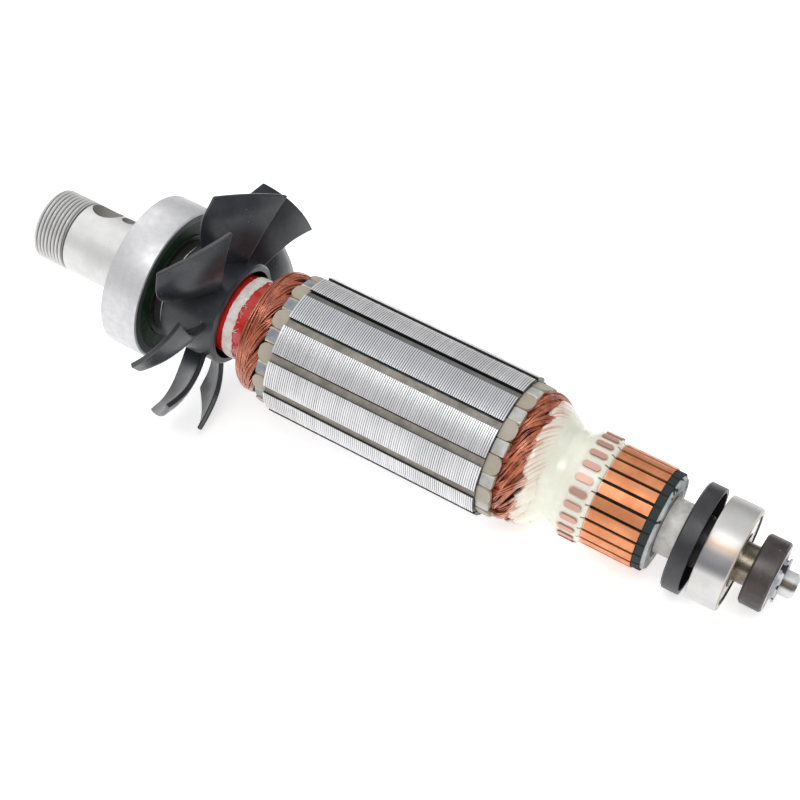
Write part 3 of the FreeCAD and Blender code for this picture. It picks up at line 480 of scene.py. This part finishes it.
for add_detail in (finish_spindle, finish_race, ring_face_painted_reflection, finish_stub_end, finish_end_ring, finish_sheets,
                   slinger_cup_painted_shade, finish_strips, finish_bars, finish_moulding, finish_leads, finish_resin):
    add_detail()


# ---- shapes

def lathe(outline, steps=128):
    """A closed outline of (along, radius) turned once round the shaft."""
    bm = bmesh.new()
    rim = [bm.verts.new((along, radius, 0)) for along, radius in outline]
    edges = [bm.edges.new(pair) for pair in zip(rim, rim[1:] + rim[:1])]
    bmesh.ops.spin(bm, geom=rim + edges, cent=(0, 0, 0), axis=(1, 0, 0), angle=math.tau, steps=steps,
                   use_merge=True)
    bmesh.ops.remove_doubles(bm, verts=bm.verts, dist=1e-4)
    bmesh.ops.recalc_face_normals(bm, faces=bm.faces)
    return bm


def repeat_round(bm, geom, count):
    """Copies of the geometry, evenly spaced round the shaft."""
    bmesh.ops.spin(bm, geom=geom, cent=(0, 0, 0), axis=(1, 0, 0), angle=math.tau * (count - 1) / count,
                   steps=count - 1, use_duplicate=True)


def turned(bm, angle):
    spin = Matrix.Rotation(math.radians(angle), 3, "X")
    bmesh.ops.rotate(bm, cent=(0, 0, 0), matrix=spin, verts=bm.verts)


def place_round(vert):
    """A point's distance from the axis and its angle round it."""
    return math.hypot(vert.co.y, vert.co.z), math.atan2(vert.co.z, vert.co.y)


def widen(vert, share):
    vert.co.y *= share
    vert.co.z *= share


def linked(name, data):
    """A new object in the scene."""
    made = bpy.data.objects.new(name, data)
    scene.collection.objects.link(made)
    return made


def scaled(bm, share):
    bmesh.ops.scale(bm, vec=(share, share, share), verts=bm.verts)


def mesh_of(bm, name):
    """The mesh that the bmesh holds, which is freed."""
    mesh = bpy.data.meshes.new(name)
    bm.to_mesh(mesh)
    bm.free()
    return mesh


def settle(piece, material, stands_for=(), body="rotor"):
    """The piece's material, its body and the CAD nodes that it stands for."""
    piece.data.materials.append(material)
    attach(piece, body)
    if stands_for:
        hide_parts(*stands_for)
    return piece


def place_mesh(bm, name, material, stands_for=(), body="rotor", crease=35):
    """The finished mesh as a piece of the armature, in metres, smooth but for edges over the crease angle."""
    scaled(bm, MM)
    for face in bm.faces:
        face.smooth = True
    for edge in bm.edges:
        edge.smooth = edge.is_manifold and edge.calc_face_angle(0.0) < math.radians(crease)
    return settle(linked(name, mesh_of(bm, name)), material, stands_for, body)


def bevel_edges(piece, width, segments):
    """A small round on the sharp edges."""
    round_off = piece.modifiers.new("edge_round", "BEVEL")
    round_off.width = width * MM
    round_off.segments = segments
    round_off.limit_method = "ANGLE"
    round_off.angle_limit = math.radians(40)
    round_off.harden_normals = True


# ---- camera, light and floor

def make_camera():
    """The photo's camera, as fitted to the circular edges seen in it."""
    right = Vector((0.85875, 0.495825, 0.129153))
    up = Vector((-0.42477, 0.547984, 0.720599))
    forward = Vector((-0.28652, 0.673677, -0.681214))
    stand = Vector((217.8, -322.423, 323.369)) * MM
    data = bpy.data.cameras.new("camera")
    data.sensor_width = 36.0
    data.lens = 76.5
    data.clip_start, data.clip_end = 0.01, 20.0
    camera = linked("camera", data)
    camera.matrix_world = Matrix.Translation(stand) @ Matrix((right, up, -forward)).transposed().to_4x4()
    scene.camera = camera


def make_lamp(name, place, size, watts):
    """A rectangular lamp that faces the middle of the part; place and size in metres."""
    data = bpy.data.lights.new(name, "AREA")
    data.shape = "RECTANGLE"
    data.size, data.size_y = size
    data.energy = watts
    lamp = linked(name, data)
    lamp.location = place
    lamp.rotation_mode = "QUATERNION"
    lamp.rotation_quaternion = (Vector((0.08, 0, 0)) - Vector(place)).to_track_quat("-Z", "Y")


def make_world():
    """White to the camera; bright above and dim at the sides for light and reflections."""
    world = bpy.data.worlds.new("studio")
    world.use_nodes = True
    scene.world = world
    tree = world.node_tree
    background = tree.nodes["Background"]
    place = node(tree, "ShaderNodeTexCoord").outputs["Generated"]
    height = node(tree, "ShaderNodeSeparateXYZ", Vector=place).outputs["Z"]
    ramp = node(tree, "ShaderNodeValToRGB", Fac=height)
    tones = ((0.0, (0.34, 0.33, 0.32)), (0.25, (0.13, 0.125, 0.12)), (0.5, (0.36, 0.36, 0.37)),
             (0.72, (0.75, 0.75, 0.76)), (1.0, (0.66, 0.66, 0.67)))
    points = ramp.color_ramp.elements
    while len(points) < len(tones):
        points.new(1.0)
    for point, (level, tone) in zip(points, tones):
        point.position, point.color = level, (*tone, 1.0)
    camera_ray = node(tree, "ShaderNodeLightPath").outputs["Is Camera Ray"]
    tree.links.new(mixed(tree, camera_ray, ramp.outputs["Color"], (1, 1, 1)), background.inputs["Color"])
    background.inputs["Strength"].default_value = 1.0


def make_floor():
    """A white floor, in metres, that slopes from the two lowest blades to the small bearing."""
    bm = bmesh.new()
    bmesh.ops.create_grid(bm, x_segments=1, y_segments=1, size=3.0)
    bmesh.ops.rotate(bm, cent=(0, 0, 0), matrix=Matrix.Rotation(math.radians(-7.67), 3, "Y"), verts=bm.verts)
    bmesh.ops.translate(bm, vec=(0.18, 0, -0.0157), verts=bm.verts)
    floor = linked("floor", mesh_of(bm, "floor"))
    material = bpy.data.materials.new("floor_paper")
    material.use_nodes = True
    shader = shader_of(material)
    shader.inputs["Base Color"].default_value = (0.8, 0.8, 0.8, 1)
    shader.inputs["Roughness"].default_value = 0.9
    shader.inputs["Emission Color"].default_value = (1, 1, 1, 1)
    shader.inputs["Emission Strength"].default_value = 0.62
    floor.data.materials.append(material)


# ---- the spindle and shaft

def thread_cut(along, turn):
    """How deep the nose is cut at a place along it; turn is the share of a whole turn."""
    phase = ((along - NOSE_END) / THREAD_PITCH - turn) % 1.0
    cut = max(0.0, min(1.0, (0.42 - abs(phase - 0.5)) / 0.36))
    fade = min(1.0, (along - NOSE_END - 0.35) / 0.7, (THREAD_END - along) / 0.5)
    return THREAD_DEPTH * cut * max(0.0, fade)


def cut_cross_hole(piece, name, along, diameter, length, offset):
    """A modifier that drills a cross hole with a cylinder; the cylinder goes once the hole is applied."""
    cutter = bmesh.new()
    bmesh.ops.create_cone(cutter, cap_ends=True, segments=48, radius1=diameter / 2, radius2=diameter / 2,
                          depth=length)
    bmesh.ops.translate(cutter, vec=(along, 0, offset), verts=cutter.verts)
    turned(cutter, HOLE_ANGLE - 90)
    scaled(cutter, MM)
    cut = piece.modifiers.new(name, "BOOLEAN")
    cut.operation = "DIFFERENCE"
    cut.solver = "EXACT"
    cut.object = linked(name, mesh_of(cutter, name))
    return cut.object


def make_spindle():
    """Spindle and shaft with a cut thread on the nose, the collet cone and the cross holes."""
    crests = [(THREAD_START + 0.1 * step, THREAD_CREST) for step in range(99)]
    bm = lathe([
        (NOSE_END, 8.7), (NOSE_END, 10.3), *crests, (RELIEF_START, 10.25), (RELIEF_END, 10.25),
        (RELIEF_END, NOSE), (-6.7, NOSE), (-6.0, 12.5), (COLLAR_START, 12.5), (COLLAR_START, 14.1),
        (6.2, COLLAR), (8.8, COLLAR),
        (COLLAR_END, 14.1), (COLLAR_END, FAN_SEAT), (FAN_SEAT_END, FAN_SEAT), (FAN_SEAT_END, CORE_SEAT),
        (SLINGER_START, CORE_SEAT), (SLINGER_START, REAR_SEAT), (184.6, REAR_SEAT), (184.6, 3.6),
        (199.7, 3.6), (SHAFT_END, 2.8), (SHAFT_END, 0.0), (8.8, 0.0), (5.8, COLLET_BORE),
        (-27.2, COLLET_BORE)])
    for vert in bm.verts:
        radius, turn = place_round(vert)
        if radius > THREAD_CREST - 0.04 and vert.co.x < -29.6:
            widen(vert, 1 - thread_cut(vert.co.x, turn / math.tau) / radius)
    piece = place_mesh(bm, "spindle", SPINDLE_STEEL, ("spindle_shaft",), crease=24)
    cutters = [cut_cross_hole(piece, "lock_cutter", -24.2, 9.4, 50.0, 0.0),
               cut_cross_hole(piece, "pin_cutter", -16.4, 4.8, 14.0, 11.0)]
    bpy.context.view_layer.update()
    mesh = bpy.data.meshes.new_from_object(piece.evaluated_get(bpy.context.evaluated_depsgraph_get()))
    piece.modifiers.clear()
    piece.data = mesh
    for cutter in cutters:
        bpy.data.objects.remove(cutter)


# ---- the fan

# height, leading edge, trailing edge and scoop, all as shares of the tip's radius
BLADE_SECTIONS = (
    (0.35, 0.142, -0.051, 0.012),
    (0.56, 0.231, -0.088, 0.025),
    (0.72, 0.281, -0.161, 0.040),
    (0.86, 0.257, -0.298, 0.050),
    (1.01, 0.145, -0.483, 0.056),
)


def blade_values(height):
    """The blade's leading and trailing edge and its scoop at a height, smoothed between its sections."""
    last = len(BLADE_SECTIONS) - 2
    index = max(i for i in range(last + 1) if i == 0 or BLADE_SECTIONS[i][0] <= height)
    near = [BLADE_SECTIONS[min(max(index + step, 0), last + 1)] for step in (-1, 0, 1, 2)]
    share = (height - near[1][0]) / (near[2][0] - near[1][0])
    found = []
    for column in (1, 2, 3):
        a, b, c, d = (row[column] for row in near)
        cubic = 2 * a - 5 * b + 4 * c - d + share * (3 * (b - c) + d - a)
        found.append(b + 0.5 * share * (c - a + share * cubic))
    return found


def blade_point(across, radius):
    """A point of the blade's middle surface, from its leading edge to its trailing one."""
    height = radius
    for _ in range(8):
        share = max(height / BLADE_TIP, 0.33)
        fore, aft, scoop = blade_values(share)
        reach = BLADE_DEPTH - ROOT_SLANT * (1 - share) ** 2
        run, rise = (fore - aft) * BLADE_TIP, 4 * across * (1 - across) * scoop * BLADE_TIP
        chord = math.hypot(reach, run)
        side = -fore * BLADE_TIP + across * run - rise * reach / chord
        height = math.sqrt(max(radius * radius - side * side, 1.0))
    return Vector((BLADE_START + across * reach + rise * run / chord, side, height))


def make_fan():
    """Moulded fan: cup-ended hub and eight scooped blades."""
    hub = lathe([(COLLAR_END, FAN_SEAT), (FAN_SEAT_END, FAN_SEAT), (FAN_SEAT_END, CUP), (HUB_END, CUP),
                 (HUB_END, HUB - 0.6), (HUB_END - 0.6, HUB), (COLLAR_END + 0.8, HUB),
                 (COLLAR_END, HUB - 0.8)])
    place_mesh(hub, "fan_hub", FAN_PLASTIC)
    bm = bmesh.new()
    bmesh.ops.create_grid(bm, x_segments=14, y_segments=18, size=0.5)
    for vert in bm.verts:
        vert.co = blade_point(vert.co.x + 0.5, BLADE_ROOT + (vert.co.y + 0.5) * (BLADE_TIP - BLADE_ROOT))
    bmesh.ops.recalc_face_normals(bm, faces=bm.faces)
    bmesh.ops.solidify(bm, geom=bm.faces[:], thickness=1.5)
    turned(bm, FAN_ANGLE - 90)
    repeat_round(bm, bm.verts[:] + bm.edges[:] + bm.faces[:], BLADES)
    bmesh.ops.recalc_face_normals(bm, faces=bm.faces)
    blades = place_mesh(bm, "fan_blades", FAN_PLASTIC, ("cooling_fan",))
    bevel_edges(blades, 0.4, 3)


# ---- windings

def strands(name, routes, radius, material):
    """Round wires along smooth routes of (along, out, angle), as one mesh."""
    data = bpy.data.curves.new(name, "CURVE")
    data.dimensions = "3D"
    data.bevel_depth = radius * MM
    data.bevel_resolution = 1
    data.resolution_u = 2
    data.use_fill_caps = True
    for route in routes:
        line = data.splines.new("NURBS")
        line.points.add(len(route) - 1)
        for point, (along, out, angle) in zip(line.points, route):
            turn = math.radians(angle)
            point.co = (along * MM, out * math.cos(turn) * MM, out * math.sin(turn) * MM, 1)
        line.order_u = 4
        line.use_endpoint_u = True
    source = linked(name + "_route", data)
    bpy.context.view_layer.update()
    mesh = bpy.data.meshes.new_from_object(source.evaluated_get(bpy.context.evaluated_depsgraph_get()))
    bpy.data.objects.remove(source)
    mesh.name = name
    for polygon in mesh.polygons:
        polygon.use_smooth = True
    mesh.materials.clear()
    settle(linked(name, mesh), material)


def make_fan_side_winding():
    """Coil ends at the fan side: bundles slant out of the slots into a thick band of wires round the ring."""
    seed = random.Random(4)
    routes = []
    way = ((46.6, 15.6, 0), (44.5, 16.9, 2), (43.5, 17.7, 6), (42.5, 18.2, 12), (41.5, 18.5, 20),
           (40.5, 18.7, 31), (39.6, 18.6, 44), (38.6, 18.2, 58), (39.4, 16.6, 74))
    for coil in range(SLOTS):
        leave = SLOT_ANGLE + coil * 30.0
        for _ in range(18):
            offset, depth, slide = seed.uniform(-6, 9), seed.uniform(0.0, 1.3), seed.uniform(-0.7, 0.5)
            stretch = seed.uniform(0.75, 1.25)
            routes.append([(along + slide * min(1.0, turn / 12), out - depth, leave + offset + turn * stretch)
                           for along, out, turn in way])
    for lane in range(60):
        lean = math.radians(2 + lane * 1.75)
        start, tilt = seed.uniform(0, 360), seed.uniform(-22, 22)
        span, inset = seed.uniform(90, 160), seed.uniform(-0.15, 0.35)
        for _ in range(2):
            route = [(42.6, 14.6, start - 12)]
            for step in range(9):
                share = step / 8
                bend = min(max(lean + math.radians(tilt) * (share - 0.5), 0.0), math.radians(108))
                reach = 3.85 - inset - 1.4 * abs(2 * share - 1) ** 5
                route.append((39.6 - reach * math.cos(bend), 14.9 + reach * math.sin(bend),
                              start + span * share))
            route.append((42.6, 14.6, start + span + 12))
            routes.append(route)
            start += 180 + seed.uniform(-20, 20)
    strands("fan_side_wires", routes, 0.25, WIRE_COPPER)
    # The body under the wires is painted shade.
    core = lathe([(37.0, SLEEVE), (44.3, SLEEVE), (44.3, 14.0), (42.0, 15.8), (39.8, 16.8), (37.6, 16.0),
                  (36.5, 14.4)])
    place_mesh(core, "fan_side_coil_core", PAINTED_SHADE_COPPER, ("drive_end_winding",))


def edge_shift(turn):
    """How much further from the core the resin starts on the side where the leads lie bare for longer."""
    return 1.1 * math.cos(turn - math.radians(190))


def make_rear_winding():
    """Leads that fan out of the slots at the commutator side in bundles and slant down under the resin."""
    seed = random.Random(9)
    routes = []
    for coil in range(SLOTS):
        leave = SLOT_ANGLE + coil * 30.0
        for bundle in range(9):
            layer = bundle % 3
            slope, reach = seed.uniform(18, 74), seed.uniform(4.4, 7.4)
            out = 19.2 - layer * 0.9 + seed.uniform(-0.35, 0.15)
            first = leave + 11 - (bundle // 3) * 8.5 + seed.uniform(-4, 4)
            spread = seed.uniform(0.9, 1.8)
            for wire in range(6):
                start, lift = first - wire * spread, seed.uniform(-0.15, 0.15)
                twist = seed.uniform(-2.5, 2.5)
                further = reach + edge_shift(math.radians(start - slope))
                route = [(116.8, 16.0 - layer * 0.5, leave + seed.uniform(-4, 4)), (119.5, out - 1.5, start)]
                for step in range(1, 6):
                    share = step / 5
                    route.append((119.8 + further * share ** 1.15 + wire * 0.1,
                                  out + lift - 1.9 * share ** 2.4,
                                  start - slope * share + twist * math.sin(math.pi * share)))
                route.append((121.6 + further, 14.0, start - slope - 9))
                routes.append(route)
    strands("rear_wires", routes, 0.25, LEAD_COPPER)
    # The body under the wires is painted shade.
    core = lathe([(REAR_COIL_START, CORE_BORE), (REAR_COIL_END, CORE_BORE), (REAR_COIL_END, 13.4),
                  (124.0, 15.8), (REAR_COIL_START, 16.0)])
    place_mesh(core, "rear_coil_core", PAINTED_SHADE_COPPER, ("commutator_end_winding",))


def make_resin_body():
    """Resin over the leads and risers, poured and set, with an uneven edge on the winding."""
    bm = lathe([(RESIN_START, 8.2), (RESIN_START, 15.8), (124.3, 17.3), (125.3, 17.95), (126.6, 17.6),
                (128.4, 16.5), (130.4, 14.9), (132.2, 13.75), (134.6, 13.75), (136.2, 14.6), (137.4, 15.12),
                (141.0, 15.2), (143.9, 15.12), (144.7, 14.6), (BARS_START, 8.2)], 240)
    lengthwise = [edge for edge in bm.edges if abs(edge.verts[0].co.x - edge.verts[1].co.x) > 0.5]
    bmesh.ops.subdivide_edges(bm, edges=lengthwise, cuts=2)
    seed = random.Random(2)
    phases = [seed.uniform(0, math.tau) for _ in range(5)]
    for vert in bm.verts:
        radius, turn = place_round(vert)
        if radius > 9 and vert.co.x < 137:
            weight = min(1.0, (137 - vert.co.x) / 10)
            slant = turn + 0.09 * (vert.co.x - 125)
            broad = math.sin(5 * turn + phases[1]) + 0.8 * math.sin(3 * turn + phases[0])
            fine = (0.6 * math.sin(12 * slant + phases[2]) + 0.35 * math.sin(29 * slant + phases[3])
                    + 0.2 * math.sin(61 * slant + phases[4]))
            forward = (0.6 * broad + 0.55 * fine + edge_shift(turn)) * weight
            vert.co.x += forward * (1 if vert.co.x < 129 else 0.3)
            widen(vert, 1 - (0.008 * broad + 0.016 * fine) * weight)
    place_mesh(bm, "resin", CREAM_RESIN, ("winding_resin",), crease=60)


# ---- the core

def make_core():
    """The stack of slotted sheets, each with its edges broken, and a patch where they were rubbed smooth."""
    bm = bmesh.new()
    half = [(1.07, 12.5), (3.0, 19.7), (1.4, 20.3), (1.4, 21.05)]
    half += [(CORE * math.sin(math.radians(turn)), CORE * math.cos(math.radians(turn)))
             for turn in (6, 9, 12, 15)]
    chain = [(-across, up) for across, up in reversed(half)] + half
    rim = [bm.verts.new((FAN_SIDE_CORE, across, up)) for across, up in chain]
    repeat_round(bm, rim + [bm.edges.new(pair) for pair in zip(rim, rim[1:])], SLOTS)
    bmesh.ops.remove_doubles(bm, verts=bm.verts, dist=1e-3)
    turned(bm, SLOT_ANGLE - 90)
    seed = random.Random(7)
    pitch = (REAR_CORE - FAN_SIDE_CORE) / SHEETS
    first = edges = bm.edges[:]
    for sheet in range(SHEETS):
        jitter = seed.uniform(-0.02, 0.02)
        for share, drop in ((0.2, 0.0), (0.8, 0.0), (1.0, 0.15)):
            along = FAN_SIDE_CORE + (sheet + share) * pitch
            grown = bmesh.ops.extrude_edge_only(bm, edges=edges)["geom"]
            fresh = {part for part in grown if isinstance(part, bmesh.types.BMVert)}
            edges = [part for part in grown
                     if isinstance(part, bmesh.types.BMEdge) and fresh.issuperset(part.verts)]
            for vert in fresh:
                vert.co.x = along
                radius, turn = place_round(vert)
                if radius > 20.8:
                    turn = math.degrees(turn) % 360
                    rubbed = max(0.0, 1 - ((along - 57.5) / 5.5) ** 2 - ((turn - 183) / 9.5) ** 2) ** 0.5
                    target = CORE + (jitter - drop) * (1 - 0.9 * rubbed) - 0.05 * rubbed
                    widen(vert, target / radius)
    bores = []
    for along, ring in ((FAN_SIDE_CORE, first), (REAR_CORE, edges)):
        spot = Matrix.Translation((along, 0, 0)) @ Matrix.Rotation(math.pi / 2, 4, "Y")
        bore = bmesh.ops.create_circle(bm, segments=48, radius=CORE_BORE, matrix=spot)["verts"]
        bores.append({edge for vert in bore for edge in vert.link_edges})
        bmesh.ops.triangle_fill(bm, edges=list(bores[-1]) + list(ring), use_beauty=True)
    bmesh.ops.bridge_loops(bm, edges=list(bores[0] | bores[1]))
    bmesh.ops.recalc_face_normals(bm, faces=bm.faces)
    place_mesh(bm, "core_sheets", SHEET_STEEL, ("laminated_core",), crease=20)


def make_slot_strips():
    """The strip that shows in each slot's mouth, a little to one side, so that a dark gap stays along it."""
    bm = bmesh.new()
    bmesh.ops.create_cube(bm, size=1.0)
    bmesh.ops.scale(bm, vec=(67.0, 2.2, 0.75), verts=bm.verts)
    bmesh.ops.translate(bm, vec=((FAN_SIDE_CORE + REAR_CORE) / 2, -0.3, 19.95), verts=bm.verts)
    turned(bm, SLOT_ANGLE - 90)
    repeat_round(bm, bm.verts[:] + bm.edges[:] + bm.faces[:], SLOTS)
    place_mesh(bm, "slot_strip_faces", SLOT_STRIP)


def make_insulator(node_name, name, material):
    """One end insulator: the tops of its fingers have the given material, its other faces are cream."""
    bm = bmesh.new()
    bm.from_mesh(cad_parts[node_name].data)
    bmesh.ops.remove_doubles(bm, verts=bm.verts, dist=1e-6)
    bmesh.ops.dissolve_limit(bm, angle_limit=math.radians(2), verts=bm.verts, edges=bm.edges)
    bm.normal_update()
    for face in bm.faces:
        middle = face.calc_center_median()
        outward = Vector((0, middle.y, middle.z)).normalized()
        face.material_index = 0 if face.normal.dot(outward) > 0.9 else 1
    scaled(bm, 1 / MM)
    piece = place_mesh(bm, name, material, (node_name,))
    piece.data.materials.append(CREAM_EDGE)
    bevel_edges(piece, 0.3, 2)


# ---- bearings and tape

def make_outer_ring(name, node_name, body, material, sizes):
    """A bearing's outer ring with its ball race and rounded corners."""
    middle, half, outside, land, pitch, ball = sizes
    centre, race = pitch - 0.07, ball + 0.12
    reach = math.acos((land - centre) / race)
    groove = [(race * math.sin(reach * step / 5), centre + race * math.cos(reach * step / 5))
              for step in range(-5, 6)]
    side = [(half - 1.1, land), (half - 1.1, land + 0.5), (half, land + 0.5), (half, outside - 0.6),
            (half - 0.18, outside - 0.18), (half - 0.6, outside)]
    outline = groove + side + [(-along, radius) for along, radius in reversed(side)]
    ring = lathe([(middle + along, radius) for along, radius in outline], 160)
    place_mesh(ring, name, material, (node_name,), body)


def make_tape():
    """The wound band, its edges uneven and frayed."""
    bm = lathe([(TAPE_START, SLEEVE), (TAPE_START, 12.42), (28.9, 12.52), (29.8, 12.55), (30.6, 12.55),
                (31.2, 12.5), (TAPE_END, 12.36), (TAPE_END, SLEEVE)], 200)
    seed = random.Random(5)
    phases = [seed.uniform(0, math.tau) for _ in range(3)]
    for vert in bm.verts:
        _, turn = place_round(vert)
        wave = (math.sin(3 * turn + phases[0]) + 0.5 * math.sin(11 * turn + phases[1])
                + 0.4 * math.sin(37 * turn + phases[2]))
        if vert.co.x > 31.0:
            vert.co.x += 0.3 * wave - 0.25 + seed.uniform(-0.08, 0.08)
        elif vert.co.x < 28.6:
            vert.co.x += 0.1 * wave
    place_mesh(bm, "tape", WHITE_TAPE, ("tape_band",))
    fibres = []
    for _ in range(26):
        turn, along = seed.uniform(120, 250), 31.2 + seed.uniform(-0.3, 0.4)
        fibres.append([(along, 12.4, turn), (along + 0.5, 12.5, turn + seed.uniform(-3, 3)),
                       (along + seed.uniform(0.7, 1.5), 12.2, turn + seed.uniform(-7, 7))])
    strands("tape_fibres", fibres, 0.07, WHITE_TAPE)


make_camera()
make_world()
make_floor()
make_lamp("key_lamp", (0.1, -0.5, 0.9), (0.7, 0.5), 4.8)
make_lamp("fill_lamp", (-0.6, 0.3, 0.5), (0.6, 0.6), 1.6)
make_spindle()
make_fan()
make_fan_side_winding()
make_rear_winding()
make_resin_body()
make_core()
make_slot_strips()
make_insulator("drive_end_insulator", "fan_side_insulator", INSULATOR)
make_insulator("commutator_end_insulator", "rear_insulator", REAR_INSULATOR)
make_tape()
# middle and half width, then the radii of outside, inner land, ball circle and ball
make_outer_ring("drive_ring", "drive_bearing_outer_ring", "drive_outer_ring", RING_STEEL,
                (0.0, 6.0, 23.5, 20.1, 18.0, 3.175))
make_outer_ring("rear_ring", "rear_bearing_outer_ring", "rear_outer_ring", RACE_STEEL,
                (180.1, 4.5, 15.0, 12.4, 10.0, 2.381))

# The drive bearing's inner ring and the spacer take the near-black painted shade.
FINISHES = {
    "drive_bearing_inner_ring": PAINTED_SHADE_STEEL, "rear_bearing_inner_ring": BUSH_STEEL,
    "drive_bearing_balls": BALL_STEEL, "rear_bearing_balls": BALL_STEEL,
    "drive_bearing_cage": CAGE_STEEL, "rear_bearing_cage": CAGE_STEEL,
    "drive_bearing_front_seal": SEAL_RUBBER, "drive_bearing_back_seal": SEAL_RUBBER,
    "rear_bearing_front_seal": SHIELD_STEEL, "rear_bearing_back_seal": SHIELD_STEEL,
    "shaft_sleeve": RED_TUBE, "slot_conductors": WIRE_COPPER, "slot_liners": SLOT_STRIP,
    "slot_wedges": SLOT_STRIP, "commutator_bars": BAR_COPPER, "commutator_moulding": DARK_MOULDING,
    "commutator_end_ring": PALE_MOULDING, "commutator_sleeve": WHITE_TUBE, "dust_slinger": SLINGER,
    "bearing_spacer": PAINTED_SHADE_STEEL, "magnet_bush": BUSH_STEEL, "sensor_magnet": MAGNET,
    "magnet_clip": CLIP_STEEL,
}
for name, material in FINISHES.items():
    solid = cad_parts[name].data
    solid.materials.clear()
    solid.materials.append(material)

scene.view_settings.view_transform = "Standard"
